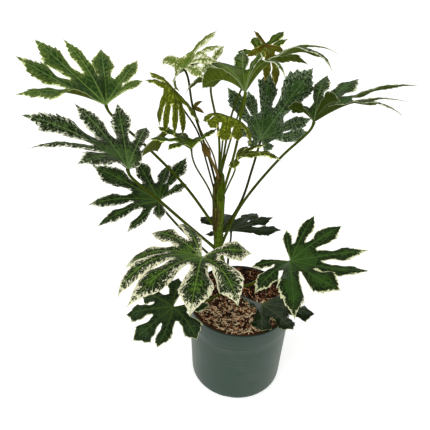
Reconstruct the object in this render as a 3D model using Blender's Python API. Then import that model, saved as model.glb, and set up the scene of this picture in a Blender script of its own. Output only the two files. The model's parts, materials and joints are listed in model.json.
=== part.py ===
"""Variegated fatsia japonica in its round nursery pot, at real size.

Metres, +Z up. The origin is the centre of the pot's flat base, which stands on Z = 0.
Each leaf is a stalk and a lobed blade. A blade's lobes spread from the top of its stalk like the
fingers of a hand: neighbours share their inner part and part company at the cut.
"""

import math

import bpy
import numpy as np

# Pot
POT_HEIGHT = 0.190
RIM_RADIUS = 0.100
FOOT_RADIUS = 0.0915
BAND_HEIGHT = 0.035
BAND_STEP = 0.0016
POT_WALL = 0.0022
POT_FLOOR = 0.0030
POT_SIDES = 48
NOTCHES = 8
NOTCH_WIDTH = 0.016
NOTCH_DEPTH = 0.009
NOTCH_RISE = 0.0045
FIRST_NOTCH = -96

# Soil, heaped above the rim at the back
SOIL_EDGE = 0.186
SOIL_HEAP = 0.008
SOIL_BACK = 0.006
SOIL_RINGS = (0.0, 0.022, 0.042, 0.060, 0.076, 0.088)
SOIL_SIDES = 32

# Stem
STEM_HOLE = 0.0096
STEM_SIDES = 14
# Height, centre X and Y, radius. It leans left as it leaves the soil and is wrapped in stalk bases above.
STEM = (
    (0.140, -0.0220, 0.0100, 0.0090),
    (0.205, -0.0220, 0.0100, 0.0090),
    (0.225, -0.0248, 0.0095, 0.0086),
    (0.245, -0.0315, 0.0082, 0.0083),
    (0.265, -0.0385, 0.0068, 0.0080),
    (0.285, -0.0440, 0.0057, 0.0078),
    (0.305, -0.0472, 0.0051, 0.0077),
    (0.340, -0.0480, 0.0050, 0.0080),
    (0.372, -0.0490, 0.0050, 0.0104),
    (0.430, -0.0500, 0.0045, 0.0102),
    (0.460, -0.0490, 0.0045, 0.0080),
    (0.472, -0.0480, 0.0045, 0.0030),
)

# Stalks, blades and the clearance between pieces
GAP = 0.0003
BLADE = 0.0008
STALK_SIDES = 6
STALK_RINGS = 9
NECK = 0.012

# Where a lobe's outline has its points, as a share of its length: 0.4 stands for the cut
STATIONS = (0.2, 0.4, 0.50, 0.60, 0.67, 0.72, 0.81, 0.86, 1.0)
TEETH = {4: 1.08, 5: 0.86, 6: 1.06, 7: 0.80}
MARGIN_FOLD = 0.18
# Outer halves of lobes that are folded up: leaf, lobe and side, then the angle, how much wider they
# are, and the share of the lobe where the fold ends
HEMS = {("upper_left", 6, 1): (75, 1.2, 0.65), ("left", 0, -1): (80, 2.7, 1.3),
        ("right", 0, -1): (75, 1.9, 1.3), ("right", 7, 1): (40, 1.2, 1.3),
        ("top", 0, -1): (60, 1.4, 0.6), ("top", 8, 1): (60, 1.9, 1.3)}
FLAT = (0, 1.0, 1.0)
# How much of the way to its neighbour's midrib a lobe may reach
ROOM = 0.46


def leaf(name, at, faces, heading, cut, width, stalk, lobes, green):
    """faces: compass direction and tilt of the upper side. Lobes: direction, length, rise, fall and,
    where they aren't plain, sway, roll, half width and how thin the tail is drawn."""
    plain = (0, 0, width, 0)
    lobes = [(*lobe, *plain[len(lobe) - 4:]) for lobe in lobes]
    return dict(name=name, at=at, faces=faces, heading=heading, cut=cut, width=width,
                stalk=stalk, lobes=lobes, green=green)


def stalk(leaves_stem_at, radius, *bends):
    return dict(height=leaves_stem_at, radius=radius, bends=bends)


DARK = (0.030, 0.075, 0.032)
MID = (0.055, 0.130, 0.045)
YOUNG = (0.200, 0.260, 0.060)
PALE = (0.420, 0.480, 0.220)
BRONZE = (0.230, 0.130, 0.030)

LEAVES = (
    leaf("upper_left", (-0.242, 0.030, 0.566), (-25, 21), 141, 0.46, 0.11,
         stalk(0.345, 0.0026, (-0.108, 0.014, 0.429), (-0.170, 0.020, 0.494)),
         ((-81, 0.086, 39, 50, -0.03, 15, 0.091), (-58, 0.129, 20, 21, -0.02, -7, 0.098),
          (-32, 0.145, 8, 7, 0.03, -6, 0.139), (1, 0.128, 32, 21, 0.12, -13, 0.089),
          (27, 0.148, 21, -1, 0.04, -11, 0.144), (60, 0.159, 20, -7, -0.02, -20, 0.107),
          (82, 0.163, 31, 43, -0.01, 10, 0.09)), MID),
    leaf("left", (-0.185, -0.080, 0.513), (-5, 19), 151, 0.42, 0.11,
         stalk(0.300, 0.0028, (-0.100, -0.025, 0.376), (-0.144, -0.050, 0.440)),
         ((-83, 0.09, 25, 62, 0, 0, 0.2), (-59, 0.13, 21, 43, -0.03, -11, 0.092),
          (-38, 0.144, 13, 3, 0.03, -27, 0.114), (-5, 0.132, 23, 12, 0.12, -19, 0.106),
          (44, 0.176, 32, 33, 0.03, -36, 0.1), (57, 0.16, 37, 71, -0.02, 22, 0.085),
          (87, 0.131, 47, 60, 0.03, 5, 0.146)), DARK),
    leaf("middle_left", (-0.154, 0.000, 0.405), (-130, 9), 162, 0.38, 0.13,
         stalk(0.255, 0.0024, (-0.071, 0.004, 0.299), (-0.115, 0.002, 0.346)),
         ((-125, 0.061, 24, 37, 0.01, 12, 0.16), (-95, 0.107, 19, 12, 0, 7, 0.137),
          (-70, 0.12, 6, 23, -0.02, -15, 0.15), (-43, 0.127, 12, 20, 0, -20, 0.12),
          (-11, 0.148, 14, 0, 0.07, -19, 0.126), (24, 0.128, 16, 32, 0.04, -18, 0.104),
          (62, 0.124, 23, 39, -0.01, -1, 0.115), (90, 0.103, 12, 10, -0.03, 5, 0.115),
          (121, 0.072, 28, 40, 0, -7, 0.154)), DARK),
    leaf("front", (-0.064, -0.130, 0.392), (-1, 4), 229, 0.40, 0.13,
         stalk(0.225, 0.0026, (-0.040, -0.050, 0.300), (-0.055, -0.105, 0.360)),
         ((-115, 0.104, 10, 36, -0.01, 31, 0.2), (-89, 0.122, 11, 51, 0.06, -16),
          (-51, 0.139, 13, 77, 0.07, -8, 0.12), (-21, 0.17, 29, 110, 0.07, -9, 0.09),
          (13, 0.184, 32, 59, -0.03, 7, 0.12), (41, 0.148, 36, 82, -0.02, -1, 0.18),
          (81, 0.118, 28, 76, -0.08, 30, 0.18), (149, 0.082, 29, 56, -0.12, 15, 0.24)), MID),
    leaf("young_left", (-0.120, -0.030, 0.626), (-19, 11), -108, 0.35, 0.10,
         stalk(0.400, 0.0016, (-0.072, -0.010, 0.499), (-0.086, -0.018, 0.554)),
         ((-119, 0.067, 1, 16, 0.01, 0, 0.12), (-97, 0.053, 6, 37, 0, 0, 0.15),
          (-36, 0.068, -50, 68, -0.01, 0, 0.11), (9, 0.073, -34, 67, 0.1, 20, 0.08),
          (35, 0.078, -16, 53, -0.01, -20, 0.07), (63, 0.075, -34, 62, 0.02, 0, 0.08),
          (109, 0.068, -38, 15, 0.01, 0, 0.12)), YOUNG),
    leaf("pale", (-0.109, 0.000, 0.647), (-157, 37), 49, 0.35, 0.135,
         stalk(0.420, 0.0020, (-0.064, 0.000, 0.484), (-0.095, 0.000, 0.584)),
         ((-105, 0.057, 23, 82), (-74, 0.066, 22, 74), (-25, 0.075, 11, 65), (5, 0.098, 4, 29),
          (73, 0.072, 21, 44), (122, 0.052, -1, 108)), PALE),
    leaf("pale_back", (-0.081, 0.090, 0.607), (-123, 55), 56, 0.40, 0.15,
         stalk(0.430, 0.0022, (-0.056, 0.042, 0.520), (-0.074, 0.076, 0.580)),
         ((-83, 0.038, 16, 49), (-40, 0.033, 36, 43), (-4, 0.055, 16, 55), (39, 0.045, 16, 39),
          (85, 0.041, 19, 55)), PALE),
    leaf("top", (-0.015, -0.010, 0.620), (109, 42), 80, 0.45, 0.12,
         stalk(0.395, 0.0024, (-0.023, -0.010, 0.535), (-0.020, -0.010, 0.580)),
         ((-124, 0.127, 43, 131, -0.03, 0, 0.06, 0.5), (-101, 0.181, 41, 120, -0.1, 0, 0.1),
          (-82, 0.166, 50, 101, -0.02, 0, 0.06, 0.8), (-49, 0.141, 63, 105, 0.03),
          (-16, 0.096, 65, 32, -0.02, 0, 0.12), (17, 0.116, 63, 25, -0.03, 25, 0.12),
          (92, 0.157, 73, 126, 0.02, -25, 0.15), (121, 0.108, 53, 117, -0.02),
          (152, 0.085, 34, 84, -0.06, 25, 0.14)), MID),
    leaf("top_back", (0.006, 0.130, 0.627), (-128, 24), 59, 0.40, 0.15,
         stalk(0.450, 0.0020, (-0.037, 0.060, 0.548), (-0.020, 0.095, 0.590)),
         ((-89, 0.055, 18, 46), (-38, 0.054, 29, 38), (-7, 0.070, 21, 43), (44, 0.061, 20, 46),
          (90, 0.052, 19, 46)), MID),
    leaf("bronze", (0.013, 0.100, 0.6573), (-49, 52), -70, 0.35, 0.12,
         stalk(0.462, 0.0017, (-0.034, 0.040, 0.520), (-0.010, 0.074, 0.610)),
         ((-94, 0.040, 26, 4), (-45, 0.045, 12, 59), (8, 0.064, 15, 54), (39, 0.074, 4, 60),
          (99, 0.048, 8, 62)), BRONZE),
    leaf("middle_right", (0.016, 0.070, 0.503), (-87, 50), 93, 0.45, 0.135,
         stalk(0.330, 0.0024, (-0.011, 0.020, 0.402), (0.004, 0.040, 0.457)),
         ((-146, 0.036, 36, 0, 0.05, 0, 0.28), (-88, 0.084, 22, 8, 0.08, 0, 0.15),
          (-64, 0.094, 16, 23, -0.04, 0, 0.14), (-34, 0.147, 27, 11, -0.02, 25, 0.2),
          (-3, 0.119, 11, 14, -0.03, 18, 0.18), (18, 0.09, 12, 24, -0.01, 0, 0.12),
          (38, 0.107, 19, 20, -0.02, 0, 0.13), (79, 0.061, 30, 0, -0.04, 0, 0.2),
          (128, 0.036, 36, 0, -0.02, 0, 0.25)), DARK),
    leaf("right", (0.099, 0.040, 0.556), (104, 42), 17, 0.42, 0.12,
         stalk(0.300, 0.0026, (-0.010, 0.012, 0.401), (0.050, 0.030, 0.490)),
         ((-88, 0.1, 20, 48, 0.02, 0, 0.10), (-64, 0.184, 12, 62, -0.06, 0, 0.11, 0.8),
          (-47, 0.158, 18, 51, -0.02, 0, 0.06, 0.7), (-17, 0.18, 33, 48, 0.01, 0, 0.06, 0.2),
          (23, 0.15, 48, 28, -0.01, 30, 0.135), (50, 0.137, 61, 28, -0.04, 16, 0.101),
          (102, 0.066, 66, 60, -0.03, 0, 0.16), (150, 0.054, 58, 51, -0.01, 29, 0.22)), MID),
    leaf("small_left", (-0.090, -0.060, 0.544), (98, 11), 137, 0.45, 0.16,
         stalk(0.385, 0.0016, (-0.066, -0.030, 0.460), (-0.084, -0.050, 0.508)),
         ((-108, 0.052, 48, 38), (-64, 0.044, 34, 59), (-20, 0.074, 27, 58), (22, 0.071, 42, 52, -0.12),
          (64, 0.070, 36, 48), (102, 0.060, 41, 72)), MID),
    leaf("small_right", (-0.023, -0.050, 0.523), (155, 22), -1, 0.40, 0.16,
         stalk(0.400, 0.0016, (-0.033, -0.030, 0.465)),
         ((-85, 0.056, 27, 53), (-43, 0.066, 30, 50), (0, 0.078, 20, 86), (40, 0.065, 23, 57),
          (68, 0.052, 24, 50)), YOUNG),
    leaf("young_centre", (-0.040, -0.035, 0.591), (22, 16), -85, 0.60, 0.26,
         stalk(0.462, 0.0016, (-0.046, -0.024, 0.524)),
         ((-85, 0.041, 8, 91), (-36, 0.045, 14, 86), (0, 0.054, 6, 89), (40, 0.049, 5, 93),
          (79, 0.063, 2, 82)), YOUNG),
    leaf("back", (-0.027, 0.070, 0.300), (135, 10), 82, 0.46, 0.19,
         stalk(0.235, 0.0022, (-0.028, 0.045, 0.272)),
         ((-100, 0.105, 15, 14), (-61, 0.089, 14, 16), (-19, 0.106, 5, 26), (22, 0.108, 3, 27),
          (57, 0.091, 10, 21), (111, 0.052, 8, 22)), DARK),
    leaf("front_right", (0.079, -0.080, 0.358), (-152, 12), -29, 0.42, 0.13,
         stalk(0.212, 0.0026, (0.010, -0.012, 0.236), (0.050, -0.055, 0.310)),
         ((-148, 0.068, 9, 34, 0.01, -6, 0.146), (-103, 0.091, 19, 50, 0.01, -21, 0.142),
          (-58, 0.153, 38, 70, -0.01, -37, 0.155), (-32, 0.131, 20, 10, 0.12, 22, 0.163),
          (2, 0.133, 7, -4, 0.08, -12, 0.121), (30, 0.127, 8, 3, -0.01, -1, 0.117),
          (71, 0.113, 11, 12, -0.09, 11, 0.147), (100, 0.109, 8, 3, -0.09, 10, 0.116),
          (125, 0.08, 5, 13, -0.02, -16, 0.109)), DARK),
    leaf("low_left", (-0.111, -0.130, 0.280), (-155, 12), 222, 0.45, 0.16,
         stalk(0.208, 0.0022, (-0.054, -0.050, 0.229)),
         ((-133, 0.066, 8, 15, 0, 19, 0.25), (-80, 0.084, 8, 47, 0.07, -30, 0.24),
          (-43, 0.088, 0, 20, 0.03, -4, 0.24), (1, 0.086, -8, 6, -0.04, -5, 0.28),
          (46, 0.087, 0, -6, -0.12, 6, 0.17), (92, 0.076, 9, 70, -0.08, 30, 0.24),
          (137, 0.064, 0, 0, 0.01, -5, 0.2)), DARK),
    leaf("low_right", (0.041, -0.050, 0.228), (29, 11), -50, 0.58, 0.24,
         stalk(0.208, 0.0018, (0.014, -0.024, 0.212)),
         ((-90, 0.064, 27, -6), (-41, 0.082, 9, 13), (1, 0.084, 10, 11), (48, 0.099, 8, 12),
          (82, 0.088, 6, 14)), DARK),
)


# Buds on short shoots: height on the stem, radius, bends, then direction, length and radius of each bud
BUDS = (
    ("bud_pair", 0.450, 0.0012, ((-0.062, 0.008, 0.500), (-0.084, 0.008, 0.545), (-0.0945, 0.008, 0.581)),
     (((0.70, -0.20, 0.68), 0.021, 0.0030), ((0.86, -0.20, -0.36), 0.019, 0.0032)), (0.150, 0.110, 0.030)),
    ("bud_brown", 0.452, 0.0022, ((-0.055, -0.016, 0.485), (-0.065, -0.024, 0.514)),
     (((-0.30, -0.08, 0.95), 0.030, 0.0058),), (0.120, 0.060, 0.020)),
)


def unit(vector):
    return vector / np.linalg.norm(vector)


def material(name, colour, roughness):
    made = bpy.data.materials.new(name)
    made.use_nodes = True
    shader = made.node_tree.nodes["Principled BSDF"]
    shader.inputs["Base Color"].default_value = (*colour, 1)
    shader.inputs["Roughness"].default_value = roughness
    return made


def add_object(name, points, faces, colour, roughness, smooth=None):
    mesh = bpy.data.meshes.new(name)
    mesh.from_pydata([tuple(p) for p in points], [], [tuple(f) for f in faces])
    if smooth is not None:
        mesh.shade_smooth()
        mesh.set_sharp_from_angle(angle=math.radians(smooth))
    mesh.materials.append(material(name, colour, roughness))
    made = bpy.data.objects.new(name, mesh)
    bpy.context.scene.collection.objects.link(made)
    return made


def cut_with(target, cutter):
    """Subtract a hidden helper that stays in the scene as a wire."""
    cutter.hide_render = True
    cutter.display_type = "WIRE"
    hole = target.modifiers.new("cut " + cutter.name, "BOOLEAN")
    hole.operation = "DIFFERENCE"
    hole.object = cutter


def turned(profile, sides):
    """Points and faces of a closed profile of (radius, height) turned about Z. Radius 0 is a pole."""
    points, faces, rings = [], [], []
    for radius, height in profile:
        if radius == 0:
            rings.append([len(points)] * sides)
            points.append((0, 0, height))
            continue
        rings.append([len(points) + i for i in range(sides)])
        turns = [2 * math.pi * i / sides for i in range(sides)]
        points += [(radius * math.cos(a), radius * math.sin(a), height) for a in turns]
    for low, high in zip(rings, rings[1:]):
        for i in range(sides):
            j = (i + 1) % sides
            corners = [low[i], low[j], high[j], high[i]]
            faces.append(list(dict.fromkeys(corners)))
    return points, faces


def pot_radius(height):
    """Outer radius of the wall below the rim band."""
    top = RIM_RADIUS - 0.0006 - BAND_STEP
    return FOOT_RADIUS + (top - FOOT_RADIUS) * height / (POT_HEIGHT - BAND_HEIGHT)


def inner_radius(height):
    return pot_radius(height) - POT_WALL


def pot():
    band = POT_HEIGHT - BAND_HEIGHT
    profile = [
        (0, 0),
        (FOOT_RADIUS - 0.0060, 0),
        (FOOT_RADIUS - 0.0020, 0.0012),
        (FOOT_RADIUS - 0.0002, 0.0050),
        (pot_radius(band), band),
        (RIM_RADIUS - 0.0006, band + 0.0012),
        (RIM_RADIUS - 0.0004, POT_HEIGHT - 0.0030),
        (RIM_RADIUS, POT_HEIGHT - 0.0010),
        (RIM_RADIUS - 0.0008, POT_HEIGHT),
        (inner_radius(POT_HEIGHT), POT_HEIGHT),
        (inner_radius(band), band),
        (inner_radius(POT_FLOOR), POT_FLOOR),
        (0, POT_FLOOR),
    ]
    body = add_object("pot", *turned(profile, POT_SIDES), (0.060, 0.085, 0.075), 0.45, smooth=40)
    for number in range(NOTCHES):
        turn = math.radians(FIRST_NOTCH + 360 * number / NOTCHES)
        bpy.ops.mesh.primitive_cube_add(size=1)
        cutter = bpy.context.object
        cutter.name = f"drain_notch_{number}"
        cutter.scale = (2 * NOTCH_DEPTH, NOTCH_WIDTH, 2 * NOTCH_RISE)
        cutter.location = (FOOT_RADIUS * math.cos(turn), FOOT_RADIUS * math.sin(turn), 0)
        cutter.rotation_euler = (0, 0, turn)
        cut_with(body, cutter)


def soil_height(x, y):
    """Heaped in the middle and towards the back, with low waves of loose bark."""
    out = math.hypot(x, y) / inner_radius(POT_HEIGHT)
    waves = 0.0012 * math.sin(90 * x + 2) * math.cos(110 * y) + 0.0008 * math.sin(170 * x - 130 * y)
    lift = SOIL_HEAP * (1 - out**4) + SOIL_BACK * (y / RIM_RADIUS) * (1 - out**8) * 1.6
    return SOIL_EDGE + lift + waves * (1 - out**4)


def soil():
    floor = POT_FLOOR + GAP
    edge = inner_radius(SOIL_EDGE) - GAP
    points = [(0, 0, floor)]
    rings = [[0] * SOIL_SIDES]
    levels = [(inner_radius(floor) - GAP - 0.0004, floor), (edge, SOIL_EDGE)]
    levels += [(radius, None) for radius in reversed(SOIL_RINGS)]
    for radius, height in levels:
        if radius == 0:
            rings.append([len(points)] * SOIL_SIDES)
            points.append((0, 0, soil_height(0, 0)))
            continue
        rings.append([len(points) + i for i in range(SOIL_SIDES)])
        for i in range(SOIL_SIDES):
            turn = 2 * math.pi * i / SOIL_SIDES
            x, y = radius * math.cos(turn), radius * math.sin(turn)
            points.append((x, y, soil_height(x, y) if height is None else height))
    faces = []
    for low, high in zip(rings, rings[1:]):
        for i in range(SOIL_SIDES):
            j = (i + 1) % SOIL_SIDES
            faces.append(list(dict.fromkeys([low[i], low[j], high[j], high[i]])))
    body = add_object("soil", points, faces, (0.130, 0.060, 0.030), 0.95)
    bottom, x, y, _ = STEM[0]
    depth = POT_HEIGHT + 0.040 - (bottom - GAP)
    bpy.ops.mesh.primitive_cylinder_add(
        vertices=24, radius=STEM_HOLE, depth=depth, location=(x, y, bottom - GAP + depth / 2))
    bpy.context.object.name = "stem_hole"
    cut_with(body, bpy.context.object)


def stem_centre(height):
    heights, *middle, _ = zip(*STEM)
    return np.array([*(np.interp(height, heights, values) for values in middle), height])


def stem_radius(height):
    return float(np.interp(height, [row[0] for row in STEM], [row[3] for row in STEM]))


def tube_faces(rings, sides, start=None):
    """Side and end faces of rings numbered one after another. The start may fan from a point."""
    faces = []
    for ring in range(rings - 1):
        for i in range(sides):
            j = (i + 1) % sides
            low, high = ring * sides, (ring + 1) * sides
            faces.append((low + i, low + j, high + j, high + i))
    if start is None:
        faces.append(tuple(reversed(range(sides))))
    else:
        faces += [((i + 1) % sides, i, start) for i in range(sides)]
    faces.append(tuple(range((rings - 1) * sides, rings * sides)))
    return faces


def stem():
    points = []
    for height, x, y, radius in STEM:
        for i in range(STEM_SIDES):
            turn = 2 * math.pi * i / STEM_SIDES
            points.append((x + radius * math.cos(turn), y + radius * math.sin(turn), height))
    add_object("stem", points, tube_faces(len(STEM), STEM_SIDES), (0.120, 0.150, 0.035), 0.6, smooth=50)


def smooth_path(corners, count):
    """Points along a Catmull-Rom curve through the corners, evenly spread by corner distance."""
    corners = np.array(corners)
    spans = np.linalg.norm(np.diff(corners, axis=0), axis=1) ** 0.5
    knots = np.concatenate([[0], np.cumsum(spans)])
    slopes = np.gradient(corners, knots, axis=0)
    slopes[0] = (corners[1] - corners[0]) / spans[0]
    slopes[-1] = (corners[-1] - corners[-2]) / spans[-1]
    places = np.linspace(0, knots[-1], count)
    path = []
    for place in places:
        k = min(int(np.searchsorted(knots, place, side="right")) - 1, len(spans) - 1)
        t = (place - knots[k]) / spans[k]
        a, b = corners[k], corners[k + 1]
        ma, mb = slopes[k] * spans[k], slopes[k + 1] * spans[k]
        path.append((2 * t**3 - 3 * t**2 + 1) * a + (t**3 - 2 * t**2 + t) * ma
                    + (3 * t**2 - 2 * t**3) * b + (t**3 - t**2) * mb)
    return np.array(path)


def rings_along(path, radii, sides):
    """Rings of points square to a path, carried along it without twisting."""
    tangents = np.gradient(path, axis=0)
    across = np.cross(tangents[0], (0.3, 1.0, 0.1))
    rings = []
    for centre, tangent, radius in zip(path, tangents, radii):
        tangent = unit(tangent)
        across = unit(across - across.dot(tangent) * tangent)
        other = np.cross(tangent, across)
        turns = [2 * math.pi * i / sides for i in range(sides)]
        rings.append([centre + radius * (math.cos(a) * across + math.sin(a) * other) for a in turns])
    return rings


def clear_of_stem(point):
    centre = stem_centre(point[2])
    return math.hypot(*(point - centre)[:2]) - stem_radius(point[2]) - GAP


def seat_on_stem(point, direction):
    """Slide a point that is clear of the stem back along a direction until only the gap is left."""
    outside, inside = 0.0, 0.004
    while clear_of_stem(point - inside * direction) > 0:
        inside += 0.002
    for _ in range(30):
        middle = (outside + inside) / 2
        if clear_of_stem(point - middle * direction) > 0:
            outside = middle
        else:
            inside = middle
    return point - outside * direction


def leave_stem(height, first_bend, radius):
    """Where a tube of this radius, on its way to its first bend, is just clear of the stem."""
    centre = stem_centre(height)
    away = unit(first_bend - centre)
    slope = math.hypot(*away[:2])
    distance = 0.0
    while clear_of_stem(centre + distance * away) < radius * (1.25 - 0.25 * slope):
        distance += 0.0005
    return centre + distance * away, away


def leaf_frame(spec):
    """Forward, left and upper directions of a blade."""
    compass, tilt = (math.radians(angle) for angle in spec["faces"])
    heading = math.radians(spec["heading"])
    upper = np.array([math.sin(tilt) * math.cos(compass), math.sin(tilt) * math.sin(compass),
                      math.cos(tilt)])
    forward = np.array([math.cos(heading), math.sin(heading), 0])
    forward = unit(forward - forward.dot(upper) * upper)
    return forward, np.cross(upper, forward), upper


def leaf_stalk(spec):
    """A tube from the stem to just under its blade, cut to the face of each."""
    top = np.array(spec["at"])
    upper = leaf_frame(spec)[2]
    radius = spec["stalk"]["radius"]
    bends = [np.array(bend) for bend in spec["stalk"]["bends"]]
    end = top - upper * (BLADE / 2 + GAP)
    neck = end + NECK * (0.7 * unit(bends[-1] - top) - 0.5 * upper)
    start, away = leave_stem(spec["stalk"]["height"], bends[0], radius)
    path = smooth_path([start, *bends, neck, end], STALK_RINGS)
    radii = np.linspace(radius, 0.85 * radius, STALK_RINGS)
    hang = -min(lobe[2] for lobe in spec["lobes"])
    if hang > 0:
        radii[-1] = min(radii[-1], 0.9 * GAP / math.tan(math.radians(hang)))
    rings = rings_along(path, radii, STALK_SIDES)
    rings.insert(0, [seat_on_stem(point, away) for point in rings[0]])
    last = unit(path[-1] - path[-2])
    rings[-1] = [point - last * (point - end).dot(upper) / last.dot(upper) for point in rings[-1]]
    points = [point for ring in rings for point in ring] + [seat_on_stem(start, away)]
    faces = tube_faces(len(rings), STALK_SIDES, start=len(points) - 1)
    add_object(f"leaf_{spec['name']}_stalk", points, faces, (0.110, 0.190, 0.030), 0.5, smooth=70)


def midrib(frame, start, lobe, shares):
    """Points along a lobe's midrib, the direction across it, and the upper side at each."""
    forward, left, upper = frame
    turn, length, rise, fall = math.radians(lobe[0]), lobe[1], lobe[2], lobe[3]
    outward = math.cos(turn) * forward + math.sin(turn) * left
    sideways = np.cross(upper, outward)
    steps = 40
    middles = (np.arange(steps) + 0.5) / steps
    slopes = np.radians(rise - fall * middles**1.4)
    along = np.concatenate([[0], np.cumsum(np.cos(slopes))]) * length / steps
    lift = np.concatenate([[0], np.cumsum(np.sin(slopes))]) * length / steps
    grid = np.linspace(0, 1, steps + 1)
    points = (start + np.outer(np.interp(shares, grid, along), outward)
              + np.outer(np.interp(shares, grid, lift), upper)
              + np.outer(lobe[4] * length * np.asarray(shares) ** 2, sideways))
    slope = np.radians(rise - fall * np.asarray(shares) ** 1.4)
    uppers = np.outer(-np.sin(slope), outward) + np.outer(np.cos(slope), upper)
    return points, sideways, uppers


def eased(share):
    share = min(1, max(0, share))
    return share * share * (3 - 2 * share)


def lobe_bulge(share):
    """Half width past the cut as a share of the widest, from the cut (0) to the tip (1)."""
    body = (share / 0.40) ** 0.85 * ((1 - share) / 0.60) ** 1.275
    return body * (1 - 0.35 * max(0, (share - 0.6) / 0.4) ** 1.5)


def half_width(share, lobe, web):
    """web is half the distance between neighbouring midribs at the cut, or None on an outer side."""
    widest = lobe[6] * lobe[1]
    drawn = 1 - 0.8 * lobe[7] * eased((share - 0.25) / 0.3)
    if web is None:
        return widest * drawn * (lobe_bulge(share) if share > 0.40 else 0.62 + 0.38 * share / 0.40)
    blend = eased(share / 0.45)
    return web * (1 - blend) * (1 - share) + widest * drawn * blend * lobe_bulge(share)


def towards_margin(side, sideways, upper, lobe, share, past, hem):
    """From the midrib to the edge: a little folded down, rolled past the cut, or folded up."""
    roll = math.radians(lobe[5]) * eased(past / 0.35)
    across = math.cos(roll) * sideways + math.sin(roll) * upper
    above = math.cos(roll) * upper - math.sin(roll) * sideways
    hem = math.radians(hem[0]) * eased((share - 0.08) / 0.25) * eased((hem[2] - share) / 0.2)
    return side * math.cos(hem) * across + (math.sin(hem) - MARGIN_FOLD * math.cos(hem)) * above


def blade_sheet(spec):
    """Middle surface of a blade: its points and its triangles, all facing up."""
    frame = leaf_frame(spec)
    start = np.array(spec["at"])
    cut, lobes = spec["cut"], spec["lobes"]
    shares = [s / 0.4 * cut if s <= 0.4 else cut + (s - 0.4) / 0.6 * (1 - cut) for s in STATIONS]
    last_shared = 1
    ribs = [midrib(frame, start, lobe, shares) for lobe in lobes]
    fine = [midrib(frame, start, lobe, np.linspace(0, 1, 41))[0] for lobe in lobes]
    points, shared = [start], {}

    def add(point):
        points.append(point)
        return len(points) - 1

    rib_points = [[add(point) for point in rib[0]] for rib in ribs]
    faces = []
    for i, (rib, sideways, uppers) in enumerate(ribs):
        for side in (-1, 1):
            hem = HEMS.get((spec["name"], i, side), FLAT)
            other = ribs[i + side][0] if 0 <= i + side < len(lobes) else None
            web = None if other is None else np.linalg.norm(rib[last_shared] - other[last_shared]) / 2
            edge = [0]
            for k in range(len(shares) - 1):
                if other is not None and k <= last_shared:
                    key = (min(i, i + side), k)
                    if key not in shared:
                        shared[key] = add((rib[k] + other[k]) / 2)
                    edge.append(shared[key])
                    continue
                past = (shares[k] - cut) / (1 - cut)
                if past < 0:
                    width = lobes[i][6] * lobes[i][1] * 0.62 * shares[k] / cut
                else:
                    width = half_width(past, lobes[i], web)
                if other is not None:
                    width = min(width, ROOM * np.linalg.norm(fine[i + side] - rib[k], axis=1).min())
                width *= TEETH.get(k, 1) * hem[1]
                edge.append(add(rib[k] + width * towards_margin(
                    side, sideways, uppers[k], lobes[i], shares[k], past, hem)))
            edge.append(rib_points[i][-1])
            middle = [0] + rib_points[i]
            for k in range(len(shares)):
                inner, inner_next = middle[k], middle[k + 1]
                outer, outer_next = edge[k], edge[k + 1]
                triangles = []
                if inner_next != outer_next:
                    triangles.append((inner, inner_next, outer_next))
                if inner != outer:
                    triangles.append((inner, outer_next, outer))
                faces += [t if side > 0 else t[::-1] for t in triangles]
    return np.array(points), faces


def leaf_blade(spec):
    """The sheet given its thickness, split into the same triangles on both faces."""
    points, faces = blade_sheet(spec)
    normals = np.zeros_like(points)
    for a, b, c in faces:
        square = np.cross(points[b] - points[a], points[c] - points[a])
        normals[[a, b, c]] += square
    normals /= np.linalg.norm(normals, axis=1)[:, None]
    count = len(points)
    both = np.concatenate([points + normals * BLADE / 2, points - normals * BLADE / 2])
    solid = list(faces) + [(a + count, c + count, b + count) for a, b, c in faces]
    edges = {(t[k], t[(k + 1) % 3]) for t in faces for k in range(3)}
    for a, b in sorted(edges):
        if (b, a) not in edges:
            solid += [(b, a, a + count), (b, a + count, b + count)]
    add_object(f"leaf_{spec['name']}_blade", both, solid, spec["green"], 0.5, smooth=60)


def folded_bud(name, base, direction, length, radius, colour):
    """A spindle that starts a little inside the shoot it grows from."""
    direction = unit(np.array(direction))
    shares = (-0.04, 0.12, 0.3, 0.55, 0.8, 1.0)
    path = np.array([base + direction * length * share for share in shares])
    radii = [radius * share for share in (0.2, 0.62, 0.92, 1.0, 0.62, 0.1)]
    points = [point for ring in rings_along(path, radii, STALK_SIDES + 2) for point in ring]
    return add_object(name, points, tube_faces(len(shares), STALK_SIDES + 2), colour, 0.6, smooth=70)


def shoot(name, height, radius, bends, buds, colour):
    """A short shoot from the stem with its folded buds joined on."""
    bends = [np.array(bend) for bend in bends]
    start, away = leave_stem(height, bends[0], radius)
    path = smooth_path([start, *bends], 8)
    rings = rings_along(path, [radius] * 7 + [0.7 * radius], STALK_SIDES)
    rings.insert(0, [seat_on_stem(point, away) for point in rings[0]])
    points = [point for ring in rings for point in ring] + [seat_on_stem(start, away)]
    faces = tube_faces(len(rings), STALK_SIDES, start=len(points) - 1)
    body = add_object(name, points, faces, colour, 0.6, smooth=70)
    for number, (direction, length, width) in enumerate(buds):
        bud = folded_bud(f"{name}_tip_{number}", path[-1], direction, length, width, colour)
        bud.hide_render = True
        bud.display_type = "WIRE"
        join = body.modifiers.new("join " + bud.name, "BOOLEAN")
        join.operation = "UNION"
        join.object = bud


def clear_scene():
    for old in list(bpy.data.objects):
        bpy.data.objects.remove(old)


def main():
    clear_scene()
    pot()
    soil()
    stem()
    for spec in LEAVES:
        leaf_stalk(spec)
        leaf_blade(spec)
    for name, *sizes in BUDS:
        shoot(name, *sizes)


main()
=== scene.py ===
"""Looks of a variegated fatsia japonica in its nursery pot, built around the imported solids.

Metres, +Z up. Every piece is made where its solid is, with the same rules and sizes, only finer.
"""

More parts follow.
